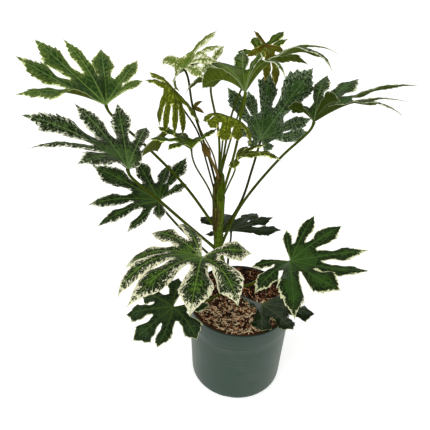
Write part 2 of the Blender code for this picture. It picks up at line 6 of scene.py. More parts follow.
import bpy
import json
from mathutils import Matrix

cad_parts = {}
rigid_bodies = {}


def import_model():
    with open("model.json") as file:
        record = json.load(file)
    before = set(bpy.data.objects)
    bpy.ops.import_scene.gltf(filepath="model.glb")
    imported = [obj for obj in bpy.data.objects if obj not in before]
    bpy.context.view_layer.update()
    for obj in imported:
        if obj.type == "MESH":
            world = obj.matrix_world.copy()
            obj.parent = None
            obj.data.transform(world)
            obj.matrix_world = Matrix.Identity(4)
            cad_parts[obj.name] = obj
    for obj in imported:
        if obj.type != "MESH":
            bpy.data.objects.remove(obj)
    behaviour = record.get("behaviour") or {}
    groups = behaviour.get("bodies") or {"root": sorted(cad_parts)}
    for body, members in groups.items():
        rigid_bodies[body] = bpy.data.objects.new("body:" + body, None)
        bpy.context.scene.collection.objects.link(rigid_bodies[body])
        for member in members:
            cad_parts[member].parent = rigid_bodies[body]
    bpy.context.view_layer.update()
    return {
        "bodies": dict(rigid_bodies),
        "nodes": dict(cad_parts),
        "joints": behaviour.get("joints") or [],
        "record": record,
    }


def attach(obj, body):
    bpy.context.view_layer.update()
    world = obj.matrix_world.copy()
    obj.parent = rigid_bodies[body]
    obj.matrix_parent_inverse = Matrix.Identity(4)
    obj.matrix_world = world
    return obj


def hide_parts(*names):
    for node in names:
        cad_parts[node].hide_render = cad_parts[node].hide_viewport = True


bl_info = {
    "name": "Potted Variegated Fatsia",
    "version": (1, 0, 0),
    "blender": (4, 5, 0),
    "location": "View3D > Sidebar > Fatsia",
    "description": "Builds the pot, compost, stem, stalks, leaves and buds of a variegated fatsia",
    "category": "Add Mesh",
}

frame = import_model()

import json
import math

import bmesh
import bpy
import numpy as np
from bpy.props import (CollectionProperty, FloatProperty, FloatVectorProperty, IntProperty,
                       PointerProperty)
from mathutils import Matrix, Vector
from mathutils.kdtree import KDTree

MM = 1000
# The two halves of a lobe, right and left of its midrib
SIDES = (-1, 1)

# The photo's camera
PHOTO_PIXELS = 430
FOCAL_PIXELS = 553.8
SENSOR_WIDTH = 36
CAMERA_PLACE = (0.0, -0.80, 0.9414)
CAMERA_PITCH = 34.80
CAMERA_ROLL = 2.03
CAMERA_YAW = -3.91

# The rules of the solids, in metres and degrees: the pot
POT_FLOOR = 0.003
POT_WALL = 0.0022
BAND_STEP = 0.0016
RIM_INSET = 0.0006
LIP_ROUND = 0.0011
FOOT_ROUND = 0.0060
FOOT_SPREAD = 0.0058
BASE_RISE = 0.0015
BASE_RADIUS = 0.060
BASE_SLOPE = 0.002
NOTCHES = 8
FIRST_NOTCH = -96
NOTCH_LENGTH = 0.018
NOTCH_HEIGHT = 0.0045
# How far out to the sides the painted warm reflection on the plastic is at full strength
SIDE_REFLECTION_REACH = 0.09
# The compost, with crumbs of these heights on the heap and on the bed that the chips lie on
SOIL_EDGE = 0.186
SOIL_HEAP = 0.008
SOIL_BACK = 0.006
HEAP_DEPTH = 0.03
GAP = 0.0003
HEAP_CRUMBS = 0.0009
BED_CRUMBS = 0.0004
BED_REACH = 0.915
# The chips: how many shapes there are, how far one is tipped or turned, and how high it may lie
CHIP_KINDS = 7
CHIP_TILT = 0.42
CHIP_TURN = 3.14159
CHIP_LIFT = 0.0022
# The length of a stalk's bend under its blade, and how far the halves of a lobe fold down
NECK = 0.012
MARGIN_FOLD = 0.18
# Outer halves of lobes that are folded up: leaf, lobe and side, then the angle, how much wider they
# are, and the share of the lobe where the fold ends
HEMS = {("upper_left", 6, 1): (75, 1.2, 0.65), ("left", 0, -1): (80, 2.7, 1.3),
        ("right", 0, -1): (75, 1.9, 1.3), ("right", 7, 1): (40, 1.2, 1.3),
        ("top", 0, -1): (60, 1.4, 0.6), ("top", 8, 1): (60, 1.9, 1.3)}
FLAT = (0, 1.0, 1.0)
# How much of the way to its neighbour's midrib a lobe may reach, and half the width of its tip
ROOM = 0.46
TIP = 0.0007
# Height, place and radius along the stem
STEM = (
    (0.140, -0.0220, 0.0100, 0.0090),
    (0.205, -0.0220, 0.0100, 0.0090),
    (0.225, -0.0248, 0.0095, 0.0086),
    (0.245, -0.0315, 0.0082, 0.0083),
    (0.265, -0.0385, 0.0068, 0.0080),
    (0.285, -0.0440, 0.0057, 0.0078),
    (0.305, -0.0472, 0.0051, 0.0077),
    (0.340, -0.0480, 0.0050, 0.0080),
    (0.372, -0.0490, 0.0050, 0.0104),
    (0.430, -0.0500, 0.0045, 0.0102),
    (0.460, -0.0490, 0.0045, 0.0080),
    (0.472, -0.0480, 0.0045, 0.0030),
)
# Its ends, and the heights of the rings that fallen leaves left
STEM_BOTTOM = 0.150
STEM_TOP = 0.4715
SCARS = (0.206, 0.219, 0.234, 0.248, 0.262, 0.279, 0.293, 0.309, 0.325, 0.338, 0.352, 0.366)
SCAR_ROUND = 0.0011
# Stalks and buds
FLARE_LENGTH = 0.010
STALK_SIDES = 14
STALK_RINGS = 48
BUD_RIDGES = 5

# How finely a blade is drawn: rows from its centre to the cut and on to a lobe's tip, and places
# across half a lobe
INNER_ROWS = 9
OUTER_ROWS = 44
ROWS = INNER_ROWS + OUTER_ROWS
ACROSS = (0.0, 0.07, 0.27, 0.52, 0.78, 1.0)
TOOTH_PHASES = (0.0, 0.35, 0.70, 0.96)
VEIN_ANGLE = math.radians(50)
# How far a tooth leans ahead and how far apart teeth stand
TOOTH_LEAN = 0.95
TOOTH_SPACING = 0.0115
FEWEST_TEETH = 4
MOST_TEETH = 9
# Where a lobe is widest, how wide an outer one is at the cut, how far past it a web reaches, and
# how high that is crowned
WIDEST = 0.40
OPEN_SHARE = 0.62
WEB_REACH = 0.15
WEB_CROWN = 0.8


def srgb(red, green, blue):
    """A colour given as on a screen, 0 to 255, as scene linear."""
    scaled = [value / 255 for value in (red, green, blue)]
    return tuple(v / 12.92 if v < 0.04045 else ((v + 0.055) / 1.055) ** 2.4 for v in scaled)


def leaf(name, at, faces, heading, cut, width, stalk, lobes, finish, slot):
    """faces: compass direction and tilt of the upper side. Lobes: direction, length, rise, fall
    and, where they aren't plain, sway, roll, half width and how thin the tail is drawn."""
    plain = (0, 0, width, 0)
    lobes = [(*lobe, *plain[len(lobe) - 4:]) for lobe in lobes]
    return dict(name=name, at=at, faces=faces, heading=heading, cut=cut, stalk=stalk,
                lobes=lobes, finish=finish, slot=slot)


def stalk(leaves_stem_at, radius, *bends):
    return dict(height=leaves_stem_at, radius=radius, bends=bends)


LEAVES = (
    leaf("upper_left", (-0.242, 0.030, 0.566), (-25, 21), 141, 0.46, 0.11,
         stalk(0.345, 0.0026, (-0.108, 0.014, 0.429), (-0.170, 0.020, 0.494)),
         ((-81, 0.086, 39, 50, -0.03, 15, 0.091), (-58, 0.129, 20, 21, -0.02, -7, 0.098),
          (-32, 0.145, 8, 7, 0.03, -6, 0.139), (1, 0.128, 32, 21, 0.12, -13, 0.089),
          (27, 0.148, 21, -1, 0.04, -11, 0.144), (60, 0.159, 20, -7, -0.02, -20, 0.107),
          (82, 0.163, 31, 43, -0.01, 10, 0.09)),
         "yellow_edged", "leaf_green"),
    leaf("left", (-0.185, -0.080, 0.513), (-5, 19), 151, 0.42, 0.11,
         stalk(0.300, 0.0028, (-0.100, -0.025, 0.376), (-0.144, -0.050, 0.440)),
         ((-83, 0.09, 25, 62, 0, 0, 0.2), (-59, 0.13, 21, 43, -0.03, -11, 0.092),
          (-38, 0.144, 13, 3, 0.03, -27, 0.114), (-5, 0.132, 23, 12, 0.12, -19, 0.106),
          (44, 0.176, 32, 33, 0.03, -36, 0.1), (57, 0.16, 37, 71, -0.02, 22, 0.085),
          (87, 0.131, 47, 60, 0.03, 5, 0.146)),
         "grey_speckled", "leaf_grey_green"),
    leaf("middle_left", (-0.154, 0.000, 0.405), (-130, 9), 162, 0.38, 0.13,
         stalk(0.255, 0.0024, (-0.071, 0.004, 0.299), (-0.115, 0.002, 0.346)),
         ((-125, 0.061, 24, 37, 0.01, 12, 0.16), (-95, 0.107, 19, 12, 0, 7, 0.137),
          (-70, 0.12, 6, 23, -0.02, -15, 0.15), (-43, 0.127, 12, 20, 0, -20, 0.12),
          (-11, 0.148, 14, 0, 0.07, -19, 0.126), (24, 0.128, 16, 32, 0.04, -18, 0.104),
          (62, 0.124, 23, 39, -0.01, -1, 0.115), (90, 0.103, 12, 10, -0.03, 5, 0.115),
          (121, 0.072, 28, 40, 0, -7, 0.154)),
         "deep_speckled", "leaf_grey_green"),
    leaf("front", (-0.064, -0.130, 0.392), (-1, 4), 229, 0.40, 0.13,
         stalk(0.225, 0.0026, (-0.040, -0.050, 0.300), (-0.055, -0.105, 0.360)),
         ((-115, 0.104, 10, 36, -0.01, 31, 0.2), (-89, 0.122, 11, 51, 0.06, -16),
          (-51, 0.139, 13, 77, 0.07, -8, 0.12), (-21, 0.17, 29, 110, 0.07, -9, 0.09),
          (13, 0.184, 32, 59, -0.03, 7, 0.12), (41, 0.148, 36, 82, -0.02, -1, 0.18),
          (81, 0.118, 28, 76, -0.08, 30, 0.18), (149, 0.082, 29, 56, -0.12, 15, 0.24)),
         "cream_edged", "leaf_cream_edged"),
    leaf("young_left", (-0.120, -0.030, 0.626), (-19, 11), -108, 0.35, 0.10,
         stalk(0.400, 0.0016, (-0.072, -0.010, 0.499), (-0.086, -0.018, 0.554)),
         ((-119, 0.067, 1, 16, 0.01, 0, 0.12), (-97, 0.053, 6, 37, 0, 0, 0.15),
          (-36, 0.068, -50, 68, -0.01, 0, 0.11), (9, 0.073, -34, 67, 0.1, 20, 0.08),
          (35, 0.078, -16, 53, -0.01, -20, 0.07), (63, 0.075, -34, 62, 0.02, 0, 0.08),
          (109, 0.068, -38, 15, 0.01, 0, 0.12)),
         "olive_young", "leaf_young"),
    leaf("pale", (-0.109, 0.000, 0.647), (-157, 37), 49, 0.35, 0.135,
         stalk(0.420, 0.0020, (-0.064, 0.000, 0.484), (-0.095, 0.000, 0.584)),
         ((-105, 0.057, 23, 82), (-74, 0.066, 22, 74), (-25, 0.075, 11, 65), (5, 0.098, 4, 29),
          (73, 0.072, 21, 44), (122, 0.052, -1, 108)),
         "pale", "leaf_pale"),
    leaf("pale_back", (-0.081, 0.090, 0.607), (-123, 55), 56, 0.40, 0.15,
         stalk(0.430, 0.0022, (-0.056, 0.042, 0.520), (-0.074, 0.076, 0.580)),
         ((-83, 0.038, 16, 49), (-40, 0.033, 36, 43), (-4, 0.055, 16, 55), (39, 0.045, 16, 39),
          (85, 0.041, 19, 55)),
         "pale", "leaf_pale"),
    leaf("top", (-0.015, -0.010, 0.620), (109, 42), 80, 0.45, 0.12,
         stalk(0.395, 0.0024, (-0.023, -0.010, 0.535), (-0.020, -0.010, 0.580)),
         ((-124, 0.127, 43, 131, -0.03, 0, 0.06, 0.5), (-101, 0.181, 41, 120, -0.1, 0, 0.1),
          (-82, 0.166, 50, 101, -0.02, 0, 0.06, 0.8), (-49, 0.141, 63, 105, 0.03),
          (-16, 0.096, 65, 32, -0.02, 0, 0.12), (17, 0.116, 63, 25, -0.03, 25, 0.12),
          (92, 0.157, 73, 126, 0.02, -25, 0.15), (121, 0.108, 53, 117, -0.02),
          (152, 0.085, 34, 84, -0.06, 25, 0.14)),
         "blue_green", "leaf_green"),
    leaf("top_back", (0.006, 0.130, 0.627), (-128, 24), 59, 0.40, 0.15,
         stalk(0.450, 0.0020, (-0.037, 0.060, 0.548), (-0.020, 0.095, 0.590)),
         ((-89, 0.055, 18, 46), (-38, 0.054, 29, 38), (-7, 0.070, 21, 43), (44, 0.061, 20, 46),
          (90, 0.052, 19, 46)),
         "fresh", "leaf_green"),
    leaf("bronze", (0.013, 0.100, 0.6573), (-49, 52), -70, 0.35, 0.12,
         stalk(0.462, 0.0017, (-0.034, 0.040, 0.520), (-0.010, 0.074, 0.610)),
         ((-94, 0.040, 26, 4), (-45, 0.045, 12, 59), (8, 0.064, 15, 54), (39, 0.074, 4, 60),
          (99, 0.048, 8, 62)),
         "bronze", "leaf_bronze"),
    leaf("middle_right", (0.016, 0.070, 0.503), (-87, 50), 93, 0.45, 0.135,
         stalk(0.330, 0.0024, (-0.011, 0.020, 0.402), (0.004, 0.040, 0.457)),
         ((-146, 0.036, 36, 0, 0.05, 0, 0.28), (-88, 0.084, 22, 8, 0.08, 0, 0.15),
          (-64, 0.094, 16, 23, -0.04, 0, 0.14), (-34, 0.147, 27, 11, -0.02, 25, 0.2),
          (-3, 0.119, 11, 14, -0.03, 18, 0.18), (18, 0.09, 12, 24, -0.01, 0, 0.12),
          (38, 0.107, 19, 20, -0.02, 0, 0.13), (79, 0.061, 30, 0, -0.04, 0, 0.2),
          (128, 0.036, 36, 0, -0.02, 0, 0.25)),
         "blue_speckled", "leaf_grey_green"),
    leaf("right", (0.099, 0.040, 0.556), (104, 42), 17, 0.42, 0.12,
         stalk(0.300, 0.0026, (-0.010, 0.012, 0.401), (0.050, 0.030, 0.490)),
         ((-88, 0.1, 20, 48, 0.02, 0, 0.10), (-64, 0.184, 12, 62, -0.06, 0, 0.11, 0.8),
          (-47, 0.158, 18, 51, -0.02, 0, 0.06, 0.7), (-17, 0.18, 33, 48, 0.01, 0, 0.06, 0.2),
          (23, 0.15, 48, 28, -0.01, 30, 0.135), (50, 0.137, 61, 28, -0.04, 16, 0.101),
          (102, 0.066, 66, 60, -0.03, 0, 0.16), (150, 0.054, 58, 51, -0.01, 29, 0.22)),
         "dark_green", "leaf_green"),
    leaf("small_left", (-0.090, -0.060, 0.544), (98, 11), 137, 0.45, 0.16,
         stalk(0.385, 0.0016, (-0.066, -0.030, 0.460), (-0.084, -0.050, 0.508)),
         ((-108, 0.052, 48, 38), (-64, 0.044, 34, 59), (-20, 0.074, 27, 58),
          (22, 0.071, 42, 52, -0.12), (64, 0.070, 36, 48), (102, 0.060, 41, 72)),
         "fresh", "leaf_green"),
    leaf("small_right", (-0.023, -0.050, 0.523), (155, 22), -1, 0.40, 0.16,
         stalk(0.400, 0.0016, (-0.033, -0.030, 0.465)),
         ((-85, 0.056, 27, 53), (-43, 0.066, 30, 50), (0, 0.078, 20, 86), (40, 0.065, 23, 57),
          (68, 0.052, 24, 50)),
         "fresh_yellow", "leaf_young"),
    leaf("young_centre", (-0.040, -0.035, 0.591), (22, 16), -85, 0.60, 0.26,
         stalk(0.462, 0.0016, (-0.046, -0.024, 0.524)),
         ((-85, 0.041, 8, 91), (-36, 0.045, 14, 86), (0, 0.054, 6, 89), (40, 0.049, 5, 93),
          (79, 0.063, 2, 82)),
         "stained_young", "leaf_young"),
    leaf("back", (-0.027, 0.070, 0.300), (135, 10), 82, 0.46, 0.19,
         stalk(0.235, 0.0022, (-0.028, 0.045, 0.272)),
         ((-100, 0.105, 15, 14), (-61, 0.089, 14, 16), (-19, 0.106, 5, 26), (22, 0.108, 3, 27),
          (57, 0.091, 10, 21), (111, 0.052, 8, 22)),
         "deep_dark", "leaf_dark"),
    leaf("front_right", (0.079, -0.080, 0.358), (-152, 12), -29, 0.42, 0.13,
         stalk(0.212, 0.0026, (0.010, -0.012, 0.236), (0.050, -0.055, 0.310)),
         ((-148, 0.068, 9, 34, 0.01, -6, 0.146), (-103, 0.091, 19, 50, 0.01, -21, 0.142),
          (-58, 0.153, 38, 70, -0.01, -37, 0.155), (-32, 0.131, 20, 10, 0.12, 22, 0.163),
          (2, 0.133, 7, -4, 0.08, -12, 0.121), (30, 0.127, 8, 3, -0.01, -1, 0.117),
          (71, 0.113, 11, 12, -0.09, 11, 0.147), (100, 0.109, 8, 3, -0.09, 10, 0.116),
          (125, 0.08, 5, 13, -0.02, -16, 0.109)),
         "narrow_edged", "leaf_dark"),
    leaf("low_left", (-0.111, -0.130, 0.280), (-155, 12), 222, 0.45, 0.16,
         stalk(0.208, 0.0022, (-0.054, -0.050, 0.229)),
         ((-133, 0.066, 8, 15, 0, 19, 0.25), (-80, 0.084, 8, 47, 0.07, -30, 0.24),
          (-43, 0.088, 0, 20, 0.03, -4, 0.24), (1, 0.086, -8, 6, -0.04, -5, 0.28),
          (46, 0.087, 0, -6, -0.12, 6, 0.17), (92, 0.076, 9, 70, -0.08, 30, 0.24),
          (137, 0.064, 0, 0, 0.01, -5, 0.2)),
         "thin_edged", "leaf_dark"),
    leaf("low_right", (0.041, -0.050, 0.228), (29, 11), -50, 0.58, 0.24,
         stalk(0.208, 0.0018, (0.014, -0.024, 0.212)),
         ((-90, 0.064, 27, -6), (-41, 0.082, 9, 13), (1, 0.084, 10, 11), (48, 0.099, 8, 12),
          (82, 0.088, 6, 14)),
         "glossy_dark", "leaf_dark"),
)

# Buds on short shoots: colours, height on the stem, radius, bends, then direction, length and
# radius of each bud
BUDS = (
    ("bud_pair", (srgb(106, 98, 34), srgb(84, 70, 24)), 0.450, 0.0012,
     ((-0.062, 0.008, 0.500), (-0.084, 0.008, 0.545), (-0.0945, 0.008, 0.581)),
     (((0.70, -0.20, 0.68), 0.021, 0.0030), ((0.86, -0.20, -0.36), 0.019, 0.0032))),
    ("bud_brown", (srgb(104, 84, 32), srgb(82, 64, 24)), 0.452, 0.0022,
     ((-0.055, -0.016, 0.485), (-0.065, -0.024, 0.514)),
     (((-0.30, -0.08, 0.95), 0.030, 0.0058),)),
)

# How dark and brown a stalk is, 0 to 1
STALK_DARKNESS = {
    "left": 0.45, "middle_left": 0.6, "upper_left": 0.35, "right": 0.5, "middle_right": 0.8,
    "front": 0.5, "front_right": 0.25, "low_left": 0.3, "young_left": 0.85, "pale": 0.8,
    "back": 0.8, "small_left": 0.55, "pale_back": 0.05, "top": 0.1, "top_back": 0.3,
    "bronze": 0.1, "young_centre": 0.3, "small_right": 0.4, "low_right": 0.6,
}

# Finishes of the blades. Colours are as on a screen: heart is the green in the middle, rim the
# green towards the margin. Widths are in millimetres: margin is the pale edge, drift and fleck how
# unevenly it ends, band how far the rim's green reaches in. Specks and tooth are shares, gloss is
# the roughness of the upper side.
FINISH_VALUES = ("heart", "rim", "edge", "under", "vein",
                 "margin", "drift", "fleck", "band", "specks", "tooth", "gloss")
FINISHES = {
    "yellow_edged": ((44, 70, 26), (78, 100, 38), (222, 232, 160), (74, 80, 20), (120, 150, 74),
        0.5, 3, 4, 5, 0.4, 0.26, 0.46),
    "grey_speckled": ((70, 96, 46), (29, 42, 13), (226, 228, 200), (90, 99, 19), (104, 132, 72),
        0.6, 2, 7, 8, 0.55, 0.28, 0.5),
    "deep_speckled": ((58, 84, 34), (32, 46, 20), (232, 234, 206), (64, 70, 18), (90, 122, 46),
        0.6, 2, 6, 6, 0.3, 0.24, 0.5),
    "blue_speckled": ((60, 92, 38), (30, 50, 18), (184, 202, 166), (56, 66, 18), (112, 142, 82),
        0, 2, 6, 6, 1, 0.26, 0.48),
    "cream_edged": ((74, 106, 34), (28, 42, 16), (234, 231, 196), (100, 104, 46), (112, 142, 60),
        3.9, 6, 8.5, 10, 0.7, 0.08, 0.5),
    "narrow_edged": ((54, 82, 32), (32, 45, 20), (224, 226, 178), (76, 80, 30), (74, 106, 42),
        0.75, 4, 2.4, 5, 0, 0.18, 0.46),
    "thin_edged": ((54, 76, 40), (34, 50, 26), (190, 196, 150), (66, 72, 32), (74, 96, 42),
        0.8, 2.4, 1.4, 5, 0.1, 0.2, 0.4),
    "glossy_dark": ((38, 56, 26), (26, 38, 16), (148, 158, 109), (56, 60, 30), (90, 104, 60),
        0.1, 1, 1, 4, 0, 0.14, 0.2),
    "deep_dark": ((44, 58, 28), (34, 43, 22), (109, 122, 77), (50, 56, 26), (60, 76, 40),
        0.1, 0.8, 1, 4, 0, 0.14, 0.44),
    "blue_green": ((84, 104, 26), (50, 70, 18), (210, 216, 180), (70, 84, 16), (124, 150, 78),
        0.9, 1.6, 2.4, 4, 0.12, 0.2, 0.42),
    "dark_green": ((50, 84, 24), (32, 50, 10), (196, 204, 158), (52, 65, 9), (92, 116, 54),
        0.3, 1.8, 4, 5, 0.5, 0.26, 0.42),
    "fresh": ((70, 92, 16), (48, 64, 6), (213, 226, 130), (60, 74, 14), (104, 124, 42),
        0.3, 1.4, 2, 3, 0.06, 0.22, 0.46),
    "fresh_yellow": ((98, 106, 26), (58, 70, 8), (229, 234, 135), (74, 82, 18), (124, 134, 54),
        0.4, 2, 3, 4, 0.12, 0.22, 0.48),
    "olive_young": ((126, 144, 32), (84, 94, 12), (200, 203, 104), (80, 86, 18), (62, 60, 12),
        0.2, 2, 3, 5, 0.14, 0.22, 0.5),
    "stained_young": ((130, 148, 34), (84, 94, 12), (200, 196, 110), (80, 86, 16), (60, 56, 10),
        0.2, 3, 4, 5, 0.12, 0.22, 0.5),
    "pale": ((90, 112, 30), (112, 126, 48), (230, 232, 188), (124, 140, 66), (80, 108, 32),
        1.4, 5, 10, 6, 0.6, 0.3, 0.52),
    "bronze": ((118, 156, 66), (88, 92, 12), (169, 161, 83), (80, 84, 18), (96, 62, 14),
        0.3, 2, 2, 6, 0.1, 0.22, 0.52),
}


# Settings

def number_prop(name, description, value, **options):
    return FloatProperty(name=name, description=description, default=value, **options)


def colour_prop(name, description, value=(0, 0, 0)):
    return FloatVectorProperty(name=name, description=description, default=value, subtype="COLOR",
                               size=3, min=0, max=1)


def length_prop(name, description, value):
    return number_prop(name, description, value, subtype="DISTANCE", unit="LENGTH", min=0,
                       precision=4)


class PotSettings(bpy.types.PropertyGroup):
    height: length_prop("Height", "Height of the pot", 0.190)
    rim_radius: length_prop("Rim radius", "Outer radius of the rim", 0.100)
    foot_radius: length_prop("Foot radius", "Outer radius at the base", 0.0915)
    band_height: length_prop("Band height", "Height of the plain band under the rim", 0.035)
    notch_width: length_prop("Notch width", "Width of each drain notch in the base", 0.016)
    plastic: colour_prop("Plastic", "Colour of the moulded plastic", srgb(40, 64, 52))
    # Also the colour of the painted reflection at the pot's left and right sides
    scuff_and_reflection: colour_prop("Scuffs", "Colour of the dust and scuffs", srgb(132, 128, 110))


class CompostSettings(bpy.types.PropertyGroup):
    density: number_prop("Chips per square metre", "How thickly the chips lie", 175000, min=1000)
    chip_length: length_prop("Chip length", "Length of the longest chips", 0.012)
    seed: IntProperty(name="Seed", description="Which scatter of chips is made", default=4)
    dark_bark: colour_prop("Dark bark", "Colour of the damp bark", srgb(30, 18, 10))
    red_bark: colour_prop("Red bark", "Colour of most chips", srgb(122, 74, 42))
    pale_fibre: colour_prop("Pale fibre", "Colour of the dry, broken faces", srgb(255, 228, 186))


class StemSettings(bpy.types.PropertyGroup):
    sheath: length_prop("Sheath", "How far a stalk's base stands out of the stem", 0.0016)
    scar: length_prop("Scar", "How far the ring left by a fallen leaf stands out", 0.0005)
    green: colour_prop("Green", "Colour of the young stem", srgb(72, 94, 10))
    brown: colour_prop("Brown", "Colour of the dry sheaths and scars", srgb(56, 48, 12))


class StalkSettings(bpy.types.PropertyGroup):
    base_flare: number_prop("Base flare", "Extra radius where a stalk clasps the stem", 0.7,
                            min=0, subtype="FACTOR")
    top_flare: number_prop("Top flare", "Extra radius where a stalk meets its blade", 0.35,
                           min=0, subtype="FACTOR")
    green: colour_prop("Green", "Colour of a stalk in the light", srgb(76, 92, 8))
    dark: colour_prop("Dark", "Colour of an old or shaded stalk", srgb(36, 44, 8))


class BladeSettings(bpy.types.PropertyGroup):
    thickness: length_prop("Thickness", "Thickness of a blade", 0.0006)
    keel: length_prop("Keel", "How far a midrib stands out under the blade", 0.0011)
    crown: number_prop("Crown", "Rise of each half of a lobe, as a share of its width", 0.11,
                       min=0, subtype="FACTOR")
    pucker: length_prop("Pucker", "Rise of the blade between side veins", 0.00045)
    wave: length_prop("Wave", "Height of the waves along a margin", 0.0011)
    vein_spacing: length_prop("Vein spacing", "Distance between side veins along a midrib", 0.0105)
    seed: IntProperty(name="Seed", description="Which set of teeth and waves is drawn", default=11)


class LeafFinish(bpy.types.PropertyGroup):
    heart: colour_prop("Heart", "Green in the middle of a lobe")
    rim: colour_prop("Rim", "Green towards the margin")
    edge: colour_prop("Edge", "Colour of the variegated margin and specks")
    under: colour_prop("Underside", "Colour of the underside")
    vein: colour_prop("Veins", "Colour of the midribs and side veins")
    margin: number_prop("Margin", "Width of the variegated margin in mm", 1)
    drift: number_prop("Drift", "Slow changes of that width in mm", 1)
    fleck: number_prop("Fleck", "Fine changes of that width in mm", 1)
    band: number_prop("Band", "Reach of the rim's green in mm", 1)
    specks: number_prop("Specks", "Share of pale specks", 0, subtype="FACTOR")
    tooth: number_prop("Tooth", "Depth of the teeth as a share of the lobe's width", 0.2,
                       subtype="FACTOR")
    gloss: number_prop("Roughness", "Roughness of the upper side", 0.4, subtype="FACTOR")


class StageSettings(bpy.types.PropertyGroup):
    floor_size: length_prop("Floor size", "Side of the pale floor", 14.0)
    paper: colour_prop("Paper", "Colour of the floor", (0.72, 0.72, 0.71))
    key_power: number_prop("Key light", "Power of the soft light overhead in watts", 30,
                           min=0, unit="POWER")
    fill_power: number_prop("Fill light", "Power of the soft light in front in watts", 7,
                            min=0, unit="POWER")
    sky: number_prop("Sky", "Strength of the even light from all round", 0.36)
    focal: number_prop("Focal length", "Focal length of the camera in mm",
                       FOCAL_PIXELS / PHOTO_PIXELS * SENSOR_WIDTH, min=1, unit="CAMERA")


class PlantSettings(bpy.types.PropertyGroup):
    pot: PointerProperty(type=PotSettings)
    compost: PointerProperty(type=CompostSettings)
    stem: PointerProperty(type=StemSettings)
    stalks: PointerProperty(type=StalkSettings)
    blades: PointerProperty(type=BladeSettings)
    finishes: CollectionProperty(type=LeafFinish)
    stage: PointerProperty(type=StageSettings)


# Node trees

def arithmetic(operation, swapped=False):
    """A method of Wire that adds a Math node of this kind."""
    def method(self, other):
        pair = (other, self) if swapped else (self, other)
        return self.sheet.node("ShaderNodeMath", {"operation": operation}, dict(enumerate(pair)))
    return method


class Wire:
    """One output of a node. Arithmetic on it adds Math nodes."""

    def __init__(self, sheet, socket):
        self.sheet = sheet
        self.socket = socket

    __add__ = __radd__ = arithmetic("ADD")
    __sub__ = arithmetic("SUBTRACT")
    __rsub__ = arithmetic("SUBTRACT", swapped=True)
    __mul__ = __rmul__ = arithmetic("MULTIPLY")
    __truediv__ = arithmetic("DIVIDE")
    at_most = arithmetic("MINIMUM")
    at_least = arithmetic("MAXIMUM")

    def other(self, name):
        return Wire(self.sheet, self.socket.node.outputs[name])

    def alone(self, operation):
        return self.sheet.node("ShaderNodeMath", {"operation": operation}, {0: self})

    def clipped(self):
        return self.at_most(1).at_least(0)

    def rise(self, low, high):
        """0 below low, 1 above high, smooth between. low may be the greater."""
        return self.sheet.node("ShaderNodeMapRange", {"interpolation_type": "SMOOTHSTEP"},
                               {0: self, 1: low, 2: high})

    def spikes(self):
        """1 at each whole number, 0 halfway between."""
        return (self.alone("FRACT") - 0.5).alone("ABSOLUTE") * 2


class Sheet:
    """A node tree filled from Python: node() adds any node and gives its output."""

    def __init__(self, tree):
        self.tree = tree

    def feed(self, socket, value):
        if isinstance(value, Wire):
            self.tree.links.new(value.socket, socket)
        else:
            socket.default_value = value

    def node(self, kind, settings=None, values=None, output=0):
        made = self.tree.nodes.new(kind)
        for name, value in (settings or {}).items():
            setattr(made, name, value)
        for name, value in (values or {}).items():
            self.feed(made.inputs[name], value)
        return Wire(self, made.outputs[output])

    def ramp(self, factor, *stops):
        """The colour at a factor between stops, each a place and a colour."""
        made = self.node("ShaderNodeValToRGB", values={"Fac": factor})
        elements = made.socket.node.color_ramp.elements
        while len(elements) < len(stops):
            elements.new(1)
        for element, (place, colour) in zip(elements, stops):
            element.position = place
            element.color = (*colour, 1)
        return made

    def attribute(self, name, output="Vector"):
        return self.node("ShaderNodeAttribute", {"attribute_name": name}, output=output)

    def parts(self, vector):
        first = self.node("ShaderNodeSeparateXYZ", values={0: vector})
        return first, first.other("Y"), first.other("Z")

    def joined(self, x, y, z):
        return self.node("ShaderNodeCombineXYZ", values={0: x, 1: y, 2: z})

    def place(self):
        return self.node("ShaderNodeTexCoord", output="Object")

    def noise(self, vector, scale, detail, roughness):
        return self.node("ShaderNodeTexNoise", values={
            "Vector": vector, "Scale": scale, "Detail": detail, "Roughness": roughness})

    def fibres(self, vector, stretch, detail, roughness):
        """Noise drawn out along each axis whose stretch is small."""
        vector = self.node("ShaderNodeMapping", values={"Vector": vector, "Scale": stretch})
        return self.noise(vector, 1.0, detail, roughness)

    def blend(self, factor, first, second, how="MIX"):
        """Two colours mixed. Inputs 6 and 7 and output 2 are the node's colour sockets."""
        first, second = (c if isinstance(c, Wire) else (*c, 1) for c in (first, second))
        return self.node("ShaderNodeMix", {"data_type": "RGBA", "blend_type": how},
                         {0: factor, 6: first, 7: second}, 2)

    def darkened(self, factor, colour, by):
        return self.blend(factor, colour, self.blend(1.0, colour, by, "MULTIPLY"))

    def bumps(self, height, distance, strength):
        return self.node("ShaderNodeBump", values={
            "Height": height, "Distance": distance, "Strength": strength})

    def chance(self, low, high, seed):
        """A random number for each point or chip, by the node's number sockets."""
        return self.node("FunctionNodeRandomValue", {"data_type": "FLOAT"},
                         {2: low, 3: high, "Seed": seed}, 1)

    def stored(self, geometry, name, value, kind="FLOAT_VECTOR", domain="POINT"):
        return self.node("GeometryNodeStoreNamedAttribute", {"data_type": kind, "domain": domain},
                         {"Geometry": geometry, "Name": name, "Value": value})

    def recalled(self, name):
        return self.node("GeometryNodeInputNamedAttribute", {"data_type": "FLOAT_VECTOR"},
                         {"Name": name})


def new_material(name, paint, *settings):
    """A material whose Principled shader's sockets are set by what the paint returns."""
    made = bpy.data.materials.new(name)
    made.use_nodes = True
    sheet = Sheet(made.node_tree)
    shader = made.node_tree.nodes["Principled BSDF"]
    for socket, value in paint(sheet, *settings).items():
        sheet.feed(shader.inputs[socket], value)
    return made


